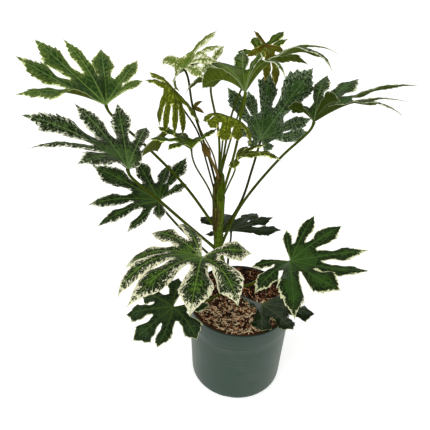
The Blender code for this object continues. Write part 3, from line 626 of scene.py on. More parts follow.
def leaf_paint(sheet, look, spacing):
    """Green with bright veins and crisp pale flecks that crowd towards the margin; olive below."""
    rib, margin, share = sheet.parts(sheet.attribute("leaf_place"))
    along, across, _ = sheet.parts(sheet.attribute("leaf_veins"))
    flat = sheet.attribute("leaf_flat")
    under = sheet.attribute("underside", "Fac")
    # Broad to fine; streaks, feather and patches are drawn out along the side veins
    clouds = sheet.noise(flat, 0.05, 2, 0.5)
    islands = sheet.noise(flat, 0.16, 2, 0.6)
    grain = sheet.noise(flat, 1.6, 3, 0.6)
    streaks = sheet.noise(sheet.joined(along * 0.30, across * 0.17, clouds * 5), 1.0, 2, 0.55)
    feather = sheet.noise(sheet.joined(along * 0.85, across * 0.36, islands * 4 + 7), 1.0, 2, 0.6)
    patches = sheet.noise(sheet.joined(along * 0.30, across * 0.12, clouds * 6 + 20), 1.0, 3, 0.6)
    # Where the pale edge, the rim's green and the pale specks lie
    ragged = (streaks - 0.5) * 3.8 + (feather - 0.5) * 1.8 + (grain - 0.5) * 0.5
    reach = (look.margin - margin + (clouds - 0.5) * (look.drift * 3.0) + ragged * look.fleck
             + margin.rise(1.6, 0.2) * (look.margin * 2.4))
    cream = reach.rise(-0.07 * look.fleck - 0.2, 0.07 * look.fleck + 0.2)
    outer = (look.band * 1.4 - margin * 0.8 + (patches - 0.5) * (look.band * 5 + 8)
             + (islands - 0.5) * look.band).rise(-1.2, 1.2)
    specks = (feather + (grain - 0.5) * 0.3 + look.specks * 0.16 - 0.69
              - margin.rise(1.0, 20.0) * 0.09).rise(0.0, 0.05)
    # Midribs, side veins and the bright joint where the midribs meet
    veins = (along / (spacing * MM)).spikes()
    midrib = (rib / (1.25 - share)).rise(1.6, 0.7)
    side = veins.rise(0.76, 0.94) * rib.rise(26.0, 3.0)
    joint = share.rise(0.30, 0.0) * (rib / (share * 10 + 1.6)).rise(1.6, 0.3)
    top = sheet.blend(outer, look.heart, look.rim)
    top = sheet.blend(joint * 0.55, top, look.vein)
    top = sheet.blend(side * 0.30, top, look.vein)
    mottling = (feather * 0.6 + grain * 0.4).rise(0.40, 0.60) * 0.42
    top = sheet.darkened(mottling, top, (0.45, 0.50, 0.40))
    top = sheet.blend(specks * 0.62, top, look.edge)
    top = sheet.blend(cream, top, look.edge)
    top = sheet.blend(midrib * 0.8, top, look.vein)
    edging = margin.rise(1.4, 0.2) * (0.35 if look.margin > 0.2 else 0.15)
    below = sheet.blend(edging, look.under, look.edge)
    below = sheet.blend((midrib + side * 0.55).at_most(1) * 0.4, below, look.vein)
    tone = (islands * 0.5 + clouds * 0.5).rise(0.36, 0.60) * 0.30
    colour = sheet.darkened(tone, sheet.blend(under, top, below), (0.42, 0.46, 0.38))
    height = (1 - veins) * 0.6 + grain * 0.25 - midrib * 0.8 + streaks * 0.15
    rough = under * 0.14 + look.gloss + (grain - 0.5) * 0.16 + cream * 0.06
    return {"Base Color": colour, "Roughness": rough,
            "Specular IOR Level": 0.08 if look.gloss < 0.35 else 0.05,
            "Normal": sheet.bumps(height, 0.0006, 0.55)}


def stalk_paint(sheet, settings):
    """Green, darker and browner towards the base, with fine grooves along it."""
    share, darkness, round_ = sheet.parts(sheet.attribute("stalk_place"))
    grooves = sheet.noise(sheet.joined(round_ * 9, share * 5, darkness * 40), 1.0, 3, 0.6)
    clouds = sheet.noise(sheet.place(), 60.0, 3, 0.6)
    green = sheet.blend((darkness + (clouds - 0.5) * 0.5).clipped(), settings.green, settings.dark)
    brown = share.rise(0.05, 0.0) * 0.4 + clouds.rise(0.58, 0.75) * 0.25
    colour = sheet.blend(brown, green, srgb(72, 48, 22))
    colour = sheet.blend(grooves.rise(0.45, 0.8) * 0.3, colour, srgb(24, 28, 6))
    return {"Base Color": colour, "Roughness": clouds * 0.2 + 0.38, "Specular IOR Level": 0.04,
            "Normal": sheet.bumps(grooves, 0.0003, 0.5)}


def plastic_paint(sheet, settings):
    """Satin moulded plastic with a faint grain, dust and scratches; a painted reflection lightens
    its sides, painted shade darkens the band, and a painted shadow line runs under it.
    """
    place = sheet.place()
    across, depth, height = sheet.parts(place)
    clouds = sheet.noise(place, 14.0, 4, 0.6)
    grain = sheet.noise(place, 900.0, 2, 0.5)
    rings = sheet.fibres(place, (3.0, 3.0, 260.0), 2, 0.5)
    scratches = sheet.fibres(place, (420.0, 420.0, 9.0), 3, 0.7)
    # Painted reflection: the left and right sides lighten towards the scuff colour as if they
    # reflected the warm floor; real dust, scratches and rings are mixed in with it
    side_reflection = (across * across / SIDE_REFLECTION_REACH**2).rise(0.45, 1.0)
    dust_and_reflection = (clouds.rise(0.5, 0.8) * 0.10 + scratches.rise(0.68, 0.80) * 0.16 + side_reflection * 0.14
            + rings.rise(0.5, 0.75) * 0.05)
    colour = sheet.blend(dust_and_reflection, settings.plastic, settings.scuff_and_reflection)
    above = height - (settings.height - settings.band_height)
    # Painted shadow: a dark line just under the band's ledge, on the front of the pot only
    painted_ledge_shadow = ((above + (clouds - 0.5) * 0.004).rise(-0.0056, -0.0030)
              * above.rise(0.0008, -0.0010) * depth.rise(-0.070, -0.094))
    # Painted shade: the band darkens towards the rim; the rings add only faint real mould streaks
    shade = painted_ledge_shadow * 0.65 + above.rise(0.0, 0.030) * 0.20 + rings.rise(0.5, 0.25) * 0.05
    colour = sheet.blend(shade, colour, srgb(10, 18, 14))
    rough = clouds * 0.16 + rings * 0.06 + grain * 0.06 + dust_and_reflection * 0.2 + 0.28
    return {"Base Color": colour, "Roughness": rough, "Specular IOR Level": 0.26,
            "Normal": sheet.bumps(grain * 0.5 + rings * 0.5 + clouds * 0.5, 0.00025, 0.35)}


def bark_paint(sheet, settings, loose):
    """From dark bark to dry, pale fibre, with a fine grain and painted shade that darkens it
    towards the back. A loose chip has its own tone.
    """
    place = sheet.place()
    grain = sheet.noise(place, 300.0, 3, 0.6)
    clouds = sheet.noise(place, 26.0, 3, 0.6)
    # Painted shade: the compost darkens towards the back, where the leaves shade it
    painted_back_shade = sheet.parts(place)[1].rise(-0.055, 0.045) * 0.55
    if loose:
        tone = sheet.attribute("chip_tone", "Fac")
        tone = tone * 1.42 - 0.29 + (grain - 0.5) * 1.1 + (clouds - 0.5) * 0.35 - painted_back_shade
    else:
        tone = grain * 0.7 + clouds * 0.2 - 0.25 - painted_back_shade
    colour = sheet.ramp(tone.clipped(), (0.0, settings.dark_bark), (0.42, settings.red_bark),
                        (0.56, srgb(214, 146, 94)), (0.74, settings.pale_fibre))
    return {"Base Color": colour, "Roughness": grain * 0.2 + 0.66, "Specular IOR Level": 0.1,
            "Normal": sheet.bumps(grain, 0.0006, 0.7)}


def stem_paint(sheet, settings):
    """Green with pale fibres, brown sheaths up one side, dark seams and a ring at every scar."""
    scar, sheath, _ = sheet.parts(sheet.attribute("stem_place"))
    place = sheet.place()
    fibres = sheet.fibres(place, (420.0, 420.0, 26.0), 4, 0.65)
    clouds = sheet.fibres(place, (90.0, 90.0, 34.0), 3, 0.6)
    splits = sheet.fibres(place, (190.0, 190.0, 9.0), 2, 0.5) - 0.5
    seam = 1 - splits.rise(-0.035, 0.0) + splits.rise(0.0, 0.035)
    brown = (sheath + (clouds - 0.5) * 1.3 + (fibres - 0.5) * 0.9).rise(0.46, 0.76)
    colour = sheet.blend(brown, settings.green, settings.brown)
    colour = sheet.blend(fibres.rise(0.5, 0.74) * 0.55, colour, srgb(146, 156, 74))
    ring = (scar * clouds.rise(0.34, 0.56)).at_most(1) * 0.85
    colour = sheet.blend(ring, colour, srgb(44, 36, 8))
    colour = sheet.blend((1 - seam.at_most(1)) * (clouds * 0.6 + 0.55), colour, srgb(26, 22, 4))
    return {"Base Color": colour, "Roughness": brown * 0.2 + fibres * 0.15 + 0.38,
            "Specular IOR Level": 0.04,
            "Normal": sheet.bumps(fibres * 0.8 + clouds * 0.4, 0.0007, 0.7)}


def bud_paint(sheet, low, high):
    """Folded scales, from the low colour at the base to the high one at the tip."""
    share, _, _ = sheet.parts(sheet.attribute("bud_place"))
    folds = sheet.fibres(sheet.place(), (500.0, 500.0, 120.0), 3, 0.6)
    colour = sheet.blend((share + (folds - 0.5) * 0.6).clipped(), low, high)
    colour = sheet.blend(folds.rise(0.52, 0.72) * 0.35, colour, srgb(136, 116, 66))
    return {"Base Color": colour, "Roughness": folds * 0.2 + 0.45, "Specular IOR Level": 0.06,
            "Normal": sheet.bumps(folds, 0.0005, 0.7)}


def paper_paint(sheet, settings):
    """Pale paper that glows more away from the pot."""
    place = sheet.place()
    fibres = sheet.noise(place, 60.0, 3, 0.6)
    warm = tuple(value * 0.985 for value in settings.paper)
    x, y, _ = sheet.parts(place)
    glow = (x * x + y * y).rise(0.2, 9.0) * 0.35 + 0.65
    return {"Base Color": sheet.blend(fibres, settings.paper, warm), "Roughness": 0.9,
            "Emission Color": sheet.joined(glow, glow, glow), "Emission Strength": 1.0}


# Meshes

def unit(vector):
    return vector / np.linalg.norm(vector)


def shaded(mesh, sharp):
    """Smooth, but for edges sharper than this angle."""
    mesh.shade_smooth()
    mesh.set_sharp_from_angle(angle=math.radians(sharp))
    return mesh


def mesh_of(name, points, faces, attributes=None, sharp=50):
    mesh = bpy.data.meshes.new(name)
    mesh.from_pydata(np.asarray(points).tolist(), [], [list(map(int, face)) for face in faces])
    for label, values in (attributes or {}).items():
        values = np.asarray(values, dtype=np.float32)
        vector = values.ndim == 2
        layer = mesh.attributes.new(label, "FLOAT_VECTOR" if vector else "FLOAT", "POINT")
        layer.data.foreach_set("vector" if vector else "value", values.ravel())
    return shaded(mesh, sharp)


def add_piece(name, mesh, material, slot, *nodes):
    """A finished piece, in place, that stands for some of the solids."""
    if not mesh.polygons:
        raise RuntimeError(f"{name} has no faces")
    if name in bpy.data.objects:
        bpy.data.objects.remove(bpy.data.objects[name])
    mesh.materials.clear()
    mesh.materials.append(material)
    piece = bpy.data.objects.new(name, mesh)
    bpy.context.scene.collection.objects.link(piece)
    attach(piece, "root")
    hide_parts(*nodes)


def scratch_object(name, mesh):
    made = bpy.data.objects.new(name, mesh)
    bpy.context.scene.collection.objects.link(made)
    return made


def as_mesh(source, name):
    """What an object's modifiers make of it, as a plain mesh. The object is removed."""
    graph = bpy.context.evaluated_depsgraph_get()
    made = bpy.data.meshes.new_from_object(source.evaluated_get(graph), depsgraph=graph)
    made.name = name
    bpy.data.objects.remove(source)
    return made


def new_tree(name, sizes):
    """A Geometry Nodes tree with named inputs. Gives its sheet and a wire from each input."""
    tree = bpy.data.node_groups.new(name, "GeometryNodeTree")
    tree.interface.new_socket("Geometry", in_out="OUTPUT", socket_type="NodeSocketGeometry")
    tree.interface.new_socket("Geometry", in_out="INPUT", socket_type="NodeSocketGeometry")
    for label, kind in sizes.items():
        tree.interface.new_socket(label, in_out="INPUT", socket_type="NodeSocket" + kind)
    entry = tree.nodes.new("NodeGroupInput")
    sheet = Sheet(tree)
    return sheet, {socket.name: Wire(sheet, socket) for socket in entry.outputs if socket.name}


def close_tree(sheet, geometry, material):
    """End a tree in Realize Instances and Set Material."""
    real = sheet.node("GeometryNodeRealizeInstances", values={0: geometry})
    painted = sheet.node("GeometryNodeSetMaterial", values={"Geometry": real, "Material": material})
    end = sheet.tree.nodes.new("NodeGroupOutput")
    sheet.tree.links.new(painted.socket, end.inputs[0])
    return sheet.tree


def run_tree(tree, start, values, name):
    """Run a tree on a scratch object with these inputs, set by their identifiers."""
    modifier = start.modifiers.new(name, "NODES")
    modifier.node_group = tree
    for item in tree.interface.items_tree:
        if item.item_type == "SOCKET" and item.in_out == "INPUT" and item.name in values:
            modifier[item.identifier] = values[item.name]
    return as_mesh(start, name)


def smooth_path(corners, count):
    """Points along a Catmull-Rom curve through the corners."""
    corners = np.array(corners)
    spans = np.linalg.norm(np.diff(corners, axis=0), axis=1) ** 0.5
    knots = np.concatenate([[0], np.cumsum(spans)])
    slopes = np.gradient(corners, knots, axis=0)
    slopes[0] = (corners[1] - corners[0]) / spans[0]
    slopes[-1] = (corners[-1] - corners[-2]) / spans[-1]
    path = []
    for place in np.linspace(0, knots[-1], count):
        k = min(int(np.searchsorted(knots, place, side="right")) - 1, len(spans) - 1)
        t = (place - knots[k]) / spans[k]
        a, b = corners[k], corners[k + 1]
        ma, mb = slopes[k] * spans[k], slopes[k + 1] * spans[k]
        path.append((2 * t**3 - 3 * t**2 + 1) * a + (t**3 - 2 * t**2 + t) * ma
                    + (3 * t**2 - 2 * t**3) * b + (t**3 - t**2) * mb)
    return np.array(path)


def grid_faces(rows, sides):
    """Quads of closed rings numbered one after another."""
    return [(row * sides + i, row * sides + (i + 1) % sides,
             (row + 1) * sides + (i + 1) % sides, (row + 1) * sides + i)
            for row in range(rows - 1) for i in range(sides)]


def turned(profile, sides):
    """Points and faces of a profile of (radius, height) turned about Z. Radius 0 is a pole."""
    points, faces, rings = [], [], []
    for radius, height in profile:
        if radius == 0:
            rings.append([len(points)] * sides)
            points.append((0, 0, height))
            continue
        rings.append([len(points) + i for i in range(sides)])
        turns = [2 * math.pi * i / sides for i in range(sides)]
        points += [(radius * math.cos(a), radius * math.sin(a), height) for a in turns]
    for low, high in zip(rings, rings[1:]):
        for i in range(sides):
            j = (i + 1) % sides
            faces.append(list(dict.fromkeys([low[i], low[j], high[j], high[i]])))
    return points, faces


def tube_faces(rows, sides, first=0):
    """Grid faces closed at both ends, with their points numbered from first."""
    faces = grid_faces(rows, sides)
    faces += [tuple(reversed(range(sides))), tuple(range((rows - 1) * sides, rows * sides))]
    return [tuple(corner + first for corner in face) for face in faces]


def pot_radius(pot, height):
    """Outer radius of the wall below the band."""
    top = pot.rim_radius - RIM_INSET - BAND_STEP
    return pot.foot_radius + (top - pot.foot_radius) * height / (pot.height - pot.band_height)


def pot_profile(pot):
    """Radius and height round the section, from the middle of the base to the floor inside."""
    band, rim = pot.height - pot.band_height, pot.rim_radius
    inner = [pot_radius(pot, height) - POT_WALL for height in (pot.height, band, POT_FLOOR)]
    foot = [(pot.foot_radius - FOOT_ROUND + FOOT_SPREAD * math.sin(a),
             FOOT_ROUND - FOOT_ROUND * math.cos(a)) for a in np.radians((0, 18, 36, 54, 72, 90))]
    wall = [(pot_radius(pot, h), h) for h in np.linspace(0.012, band - 0.0012, 9)]
    lip = [(rim - LIP_ROUND + LIP_ROUND * math.sin(a),
            pot.height - LIP_ROUND + LIP_ROUND * math.cos(a)) for a in np.radians((90, 60, 30, 0))]
    return [(0, BASE_RISE), (BASE_RADIUS, BASE_RISE), (BASE_RADIUS + BASE_SLOPE, 0), *foot, *wall,
            (pot_radius(pot, band) + 0.0003, band - 0.0004),
            (rim - 0.0011, band + 0.0002), (rim - 0.0007, band + 0.0009),
            (rim - 0.0004, band + 0.0022), (rim - 0.0003, pot.height - 0.0040), *lip,
            (inner[0] + 0.0006, pot.height), (inner[0], pot.height - 0.0006),
            (inner[1], band), (inner[2], POT_FLOOR), (0, POT_FLOOR)]


def notch_cutter(pot, number):
    """A rounded block across the wall, half below the ground."""
    turn = math.radians(FIRST_NOTCH + 360 * number / NOTCHES)
    size = (NOTCH_LENGTH, pot.notch_width, 2 * NOTCH_HEIGHT)
    shape = bmesh.new()
    bmesh.ops.create_cube(shape, size=1, matrix=Matrix.Diagonal((*size, 1)))
    bmesh.ops.bevel(shape, geom=shape.edges[:], offset=0.0015, segments=2, affect="EDGES")
    shape.transform(Matrix.Rotation(turn, 4, "Z") @ Matrix.Translation((pot.foot_radius, 0, 0)))
    cutter = bpy.data.meshes.new("notch")
    shape.to_mesh(cutter)
    shape.free()
    return scratch_object(f"notch_{number}", cutter)


def pot_mesh(pot):
    shell = scratch_object("pot_shell", mesh_of("pot_shell", *turned(pot_profile(pot), 180)))
    cutters = [notch_cutter(pot, number) for number in range(NOTCHES)]
    for cutter in cutters:
        hole = shell.modifiers.new(cutter.name, "BOOLEAN")
        hole.operation = "DIFFERENCE"
        hole.solver = "MANIFOLD"
        hole.object = cutter
    made = as_mesh(shell, "nursery_pot")
    for cutter in cutters:
        bpy.data.objects.remove(cutter)
    return made


def soil_height(pot, x, y):
    """Heaped in the middle and towards the back, with low waves of loose bark."""
    out = math.hypot(x, y) / (pot_radius(pot, pot.height) - POT_WALL)
    waves = 0.0012 * math.sin(90 * x + 2) * math.cos(110 * y) + 0.0008 * math.sin(170 * x - 130 * y)
    lift = SOIL_HEAP * (1 - out**4) + SOIL_BACK * (y / pot.rim_radius) * (1 - out**8) * 1.6
    return SOIL_EDGE + lift + waves * (1 - out**4)


def compost_mesh(pot, roughness, reach=1.0):
    """A closed disc with a crumbly top. With reach under 1, only an open top of that share."""
    sides, rows = 144, 54
    edge = pot_radius(pot, SOIL_EDGE) - POT_WALL - GAP
    rng = np.random.default_rng(3)
    bumps = rng.normal(0, 1, (6, 3))
    points = []
    for row in range(1, rows + 1):
        radius = edge * reach * row / rows
        for i in range(sides):
            turn = 2 * math.pi * i / sides
            x, y = radius * math.cos(turn), radius * math.sin(turn)
            crumbs = sum(math.sin(x * (420 + 160 * a) + y * (380 + 190 * b) + 9 * c)
                         for a, b, c in bumps)
            fade = min(1, (1 - row / rows) * 9)
            height = soil_height(pot, x, y) if row < rows or reach < 1 else SOIL_EDGE
            points.append((x, y, height + roughness * crumbs * 0.4 * fade))
    centre = len(points)
    points.append((0, 0, soil_height(pot, 0, 0)))
    faces = [face[::-1] for face in grid_faces(rows, sides)]
    faces += [(centre, i, (i + 1) % sides) for i in range(sides)]
    if reach < 1:
        return mesh_of("compost_top", points, faces, sharp=180)
    low = len(points)
    outer = (rows - 1) * sides
    bottom = SOIL_EDGE - HEAP_DEPTH
    points += [(x * 0.985, y * 0.985, bottom) for x, y, _ in points[outer:outer + sides]]
    for i in range(sides):
        j = (i + 1) % sides
        faces.append((outer + i, low + i, low + j, outer + j))
    faces.append(tuple(low + i for i in reversed(range(sides))))
    return mesh_of("compost_heap", points, faces)


def chip_shapes(settings):
    """Splinters and flakes of bark, each a few dozen faces, in a collection of their own."""
    rng = np.random.default_rng(settings.seed)
    shelf = bpy.data.collections.new("bark_shapes")
    for number in range(CHIP_KINDS):
        length = settings.chip_length * (0.45 + 0.55 * rng.random())
        width = length * (0.12 + 0.18 * rng.random())
        depth = width * (0.35 + 0.25 * rng.random())
        points = []
        for place in (-0.5, -0.22, 0.12, 0.5):
            taper = 0.35 + 0.65 * (1 - abs(place * 1.9) ** 2)
            lean = 0.12 * length * rng.normal() * abs(place)
            for a, b in ((-1, -1), (1, -1), (1, 1), (-1, 1)):
                wobble = 1 + 0.25 * rng.normal()
                points.append((length * place, lean + a * width / 2 * taper * wobble,
                               lean * 0.5 + b * depth / 2 * taper))
        mesh = mesh_of(f"chip_{number}", points, tube_faces(4, 4), sharp=30)
        shelf.objects.link(bpy.data.objects.new(f"chip_{number}", mesh))
    return shelf


def chip_tree():
    """Scatter chips over a surface, mostly lying flat, each with a tone of its own."""
    sheet, entry = new_tree("Bark chips", {
        "Shapes": "Collection", "Chips per square metre": "Float", "Seed": "Int",
        "Tilt": "Float", "Lift": "Float", "Material": "Material"})
    points = sheet.node("GeometryNodeDistributePointsOnFaces", values={
        "Mesh": entry["Geometry"], "Density": entry["Chips per square metre"],
        "Seed": entry["Seed"]})
    tilt = sheet.joined(entry["Tilt"], entry["Tilt"], CHIP_TURN)
    back = sheet.node("ShaderNodeVectorMath", {"operation": "SCALE"}, {0: tilt, "Scale": -1.0})
    turn = sheet.node("FunctionNodeRandomValue", {"data_type": "FLOAT_VECTOR"},
                      {0: back, 1: tilt, "Seed": 5})
    facing = sheet.node("FunctionNodeRotateRotation", {"rotation_space": "LOCAL"},
                        {0: points.other("Rotation"), 1: turn})
    raised = sheet.node("GeometryNodeSetPosition", values={
        "Geometry": points, "Offset": sheet.joined(0.0, 0.0, sheet.chance(0.0, entry["Lift"], 8))})
    shapes = sheet.node("GeometryNodeCollectionInfo", values={
        "Collection": entry["Shapes"], "Separate Children": True, "Reset Children": True})
    size = sheet.chance(0.55, 1.15, 13)
    chips = sheet.node("GeometryNodeInstanceOnPoints", values={
        "Points": raised, "Instance": shapes, "Pick Instance": True, "Rotation": facing,
        "Scale": sheet.joined(size, size, size)})
    toned = sheet.stored(chips, "chip_tone", sheet.chance(0.0, 1.0, 21), "FLOAT", "INSTANCE")
    return close_tree(sheet, toned, entry["Material"])


def stem_centre(height):
    heights, *middle, _ = zip(*STEM)
    return np.array([*(np.interp(height, heights, values) for values in middle), height])


def stem_radius(height):
    return float(np.interp(height, [row[0] for row in STEM], [row[3] for row in STEM]))


def softened(values, soft):
    """A row of values, smoothed without getting shorter."""
    return np.convolve(np.pad(values, len(soft) // 2, "edge"), soft, "valid")


def sheath_swell(spec, settings, heights, turns):
    """How far the base of one leaf's stalk stands out, at each height and turn of the stem."""
    height = spec["stalk"]["height"]
    away = unit(np.array(spec["stalk"]["bends"][0]) - stem_centre(height))
    top = height + 0.5 * stem_radius(height) * away[2] / max(0.2, math.hypot(*away[:2]))
    aside = (turns - math.atan2(away[1], away[0]) + np.pi) % (2 * np.pi) - np.pi
    below = (top - heights)[:, None]
    across = np.exp(-0.5 * (aside / (0.75 + np.clip(below, 0, 0.03) * 22)) ** 4)
    up = np.where(below > 0, np.exp(-below / 0.014), np.exp(-(below / 0.0025) ** 2))
    return settings.sheath * across * up


def stem_mesh(settings):
    """The stem with its clasping stalk bases, and the ring scars between them."""
    rows, sides = 190, 44
    heights = np.linspace(STEM_BOTTOM, STEM_TOP, rows)
    soft = np.exp(-0.5 * (np.arange(-9, 10) / 4.0) ** 2)
    soft /= soft.sum()
    middles = np.array([stem_centre(h) for h in heights])
    for k in range(2):
        middles[:, k] = softened(middles[:, k], soft)
    radii = softened([stem_radius(h) for h in heights], soft)
    turns = 2 * np.pi * np.arange(sides) / sides
    swell = np.zeros((rows, sides))
    for spec in LEAVES:
        swell = np.maximum(swell, sheath_swell(spec, settings, heights, turns))
    scars = np.zeros(rows)
    for height in SCARS:
        scars = np.maximum(scars, np.exp(-((heights - height) / SCAR_ROUND) ** 2))
    ripple = (0.00018 * np.sin(heights[:, None] * 900 + 3 * np.sin(turns * 2))
              + 0.0002 * np.sin(turns * 7))
    out = radii[:, None] + swell + settings.scar * scars[:, None] + ripple
    # The top closes in over its last rings
    out[-6:] *= np.linspace(1, 0.25, 6)[:, None] ** 0.5
    points = np.stack([middles[:, :1] + out * np.cos(turns), middles[:, 1:2] + out * np.sin(turns),
                       np.repeat(heights[:, None], sides, 1)], axis=2).reshape(-1, 3)
    # The sheaths are drier on the left and higher up
    left = 0.5 - 0.5 * np.cos(turns - math.radians(15))
    dry = (left * np.clip((heights - 0.30) / 0.04, 0.25, 1)[:, None]
           + 0.25 * np.sin(heights * 70)[:, None])
    marks = np.stack([np.repeat(scars[:, None], sides, 1), dry, np.zeros_like(dry)], axis=2)
    return mesh_of("stem_with_sheaths", points, tube_faces(rows, sides),
                   {"stem_place": marks.reshape(-1, 3)}, sharp=60)


def leaf_frame(spec):
    """Forward, left and upper directions of a blade."""
    compass, tilt = (math.radians(angle) for angle in spec["faces"])
    heading = math.radians(spec["heading"])
    upper = np.array([math.sin(tilt) * math.cos(compass), math.sin(tilt) * math.sin(compass),
                      math.cos(tilt)])
    forward = np.array([math.cos(heading), math.sin(heading), 0])
    forward = unit(forward - forward.dot(upper) * upper)
    return forward, np.cross(upper, forward), upper


def stalk_path(spec):
    """From inside the stem to the underside of the blade."""
    top, grip = np.array(spec["at"]), spec["stalk"]
    upper = leaf_frame(spec)[2]
    bends = [np.array(bend) for bend in grip["bends"]]
    end = top - upper * 0.0004
    neck = end + NECK * (0.7 * unit(bends[-1] - top) - 0.5 * upper)
    centre = stem_centre(grip["height"])
    away = unit(bends[0] - centre)
    start = centre + away * 0.35 * stem_radius(grip["height"])
    return smooth_path([start, *bends, neck, end], 60)


def path_object(name, path):
    mesh = bpy.data.meshes.new(name)
    mesh.from_pydata(path.tolist(), [(i, i + 1) for i in range(len(path) - 1)], [])
    return scratch_object(name, mesh)


def stalk_tree():
    """A tube along a path, wider where it clasps the stem and where it meets the blade."""
    sheet, entry = new_tree("Leaf stalk", {
        "Radius": "Float", "Base Flare": "Float", "Top Flare": "Float", "Flare Length": "Float",
        "Age": "Float", "Sides": "Int", "Rings": "Int", "Material": "Material"})
    curve = sheet.node("GeometryNodeMeshToCurve", values={0: entry["Geometry"]})
    curve = sheet.node("GeometryNodeResampleCurve", values={
        "Curve": curve, "Count": entry["Rings"]})
    share = sheet.node("GeometryNodeSplineParameter")
    length = share.other("Length")
    whole = length / share.at_least(0.001)
    base = (length / entry["Flare Length"] * -1.0).alone("EXPONENT") * entry["Base Flare"]
    top = ((length - whole) / entry["Flare Length"] * 2.5).alone("EXPONENT") * entry["Top Flare"]
    scale = (1.0 - share * 0.15 + base + top) * entry["Radius"]
    ring = sheet.node("GeometryNodeCurvePrimitiveCircle", {"mode": "RADIUS"},
                      {"Resolution": entry["Sides"], "Radius": 1.0})
    place = sheet.node("GeometryNodeInputPosition")
    tube = sheet.node("GeometryNodeCurveToMesh", values={
        "Curve": sheet.stored(curve, "stalk_along", sheet.joined(share, entry["Age"], 0.0)),
        "Profile Curve": sheet.stored(ring, "stalk_round", place),
        "Scale": scale, "Fill Caps": True})
    along, darkness, _ = sheet.parts(sheet.recalled("stalk_along"))
    x, y, _ = sheet.parts(sheet.recalled("stalk_round"))
    marked = sheet.stored(tube, "stalk_place", sheet.joined(along, darkness, x + y * 1.7))
    smooth = sheet.node("GeometryNodeSetShadeSmooth", values={0: marked})
    return close_tree(sheet, smooth, entry["Material"])


def midrib(frame, start, lobe, shares):
    """Points along a lobe's midrib, the way across it, and the upper side and heading at each."""
    forward, left, upper = frame
    turn, length, rise, fall = math.radians(lobe[0]), lobe[1], lobe[2], lobe[3]
    outward = math.cos(turn) * forward + math.sin(turn) * left
    sideways = np.cross(upper, outward)
    steps = 160
    middles = (np.arange(steps) + 0.5) / steps
    slopes = np.radians(rise - fall * middles**1.4)
    grid = np.linspace(0, 1, steps + 1)
    along = np.concatenate([[0], np.cumsum(np.cos(slopes))]) * length / steps
    lift = np.concatenate([[0], np.cumsum(np.sin(slopes))]) * length / steps
    shares = np.asarray(shares)
    points = (start + np.outer(np.interp(shares, grid, along), outward)
              + np.outer(np.interp(shares, grid, lift), upper)
              + np.outer(lobe[4] * length * shares**2, sideways))
    slope = np.radians(rise - fall * shares**1.4)
    uppers = np.outer(-np.sin(slope), outward) + np.outer(np.cos(slope), upper)
    ahead = np.outer(np.cos(slope), outward) + np.outer(np.sin(slope), upper)
    return points, sideways, uppers, ahead


def eased(share):
    share = np.clip(share, 0, 1)
    return share * share * (3 - 2 * share)


def lobe_bulge(share):
    """Widest past a third of the way, then drawn out to a slender tip."""
    body = (share / WIDEST) ** 0.85 * ((1 - share) / (1 - WIDEST)) ** 1.275
    return body * (1 - 0.35 * np.clip((share - 0.6) / 0.4, 0, 1) ** 1.5)


def half_width(share, lobe, web):
    """Half width past the cut, from the cut (0) to the tip (1)."""
    widest = lobe[6] * lobe[1] * (1 - 0.8 * lobe[7] * eased((share - 0.25) / 0.3))
    bulge = lobe_bulge(share)
    if web is None:
        opening = OPEN_SHARE + (1 - OPEN_SHARE) * share / WIDEST
        return widest * np.where(share > WIDEST, bulge, opening)
    blend = eased(share / 0.45)
    width = web * (1 - blend) * (1 - share) + widest * blend * bulge
    return np.maximum(width, TIP * np.clip((1 - share) / 0.05, 0, 1))


def towards_margin(side, sideways, uppers, lobe, share, past, hem):
    """From the midrib to the edge: folded down a little, rolled past the cut, or folded up."""
    roll = math.radians(lobe[5]) * eased(past / 0.35)[:, None]
    across = np.cos(roll) * sideways + np.sin(roll) * uppers
    above = np.cos(roll) * uppers - np.sin(roll) * sideways
    folded = eased((share - 0.08) / 0.25) * eased((hem[2] - share) / 0.2)
    hem = math.radians(hem[0]) * folded[:, None]
    way = side * np.cos(hem) * across + (np.sin(hem) - MARGIN_FOLD * np.cos(hem)) * above
    return way, np.cos(hem) * above - side * np.sin(hem) * across


def toothed_margin(rng, length):
    """Places along a free margin past the cut, and how much of a tooth stands at each."""
    teeth = int(np.clip(round(length / TOOTH_SPACING), FEWEST_TEETH, MOST_TEETH))
    first = 0.16 + 0.06 * rng.random()
    marks = np.linspace(first, 0.94, teeth + 1)
    marks[1:-1] += rng.uniform(-0.22, 0.22, teeth - 1) * (marks[1] - marks[0])
    spare = OUTER_ROWS - 4 * teeth - 2
    low = spare // 2
    places = list(np.linspace(0, marks[0], low + 2)[1:-1])
    stands = [0.0] * low
    for number in range(teeth):
        size = min(1, (marks[number + 1] / 0.55) ** 1.3) * (0.6 + 0.6 * rng.random())
        for phase in TOOTH_PHASES:
            places.append(marks[number] + phase * (marks[number + 1] - marks[number]))
            stands.append(phase * size)
    places += list(np.linspace(marks[-1], 1, spare - low + 2))
    stands += [0.0] * (spare - low + 2)
    return np.array(places), np.array(stands)


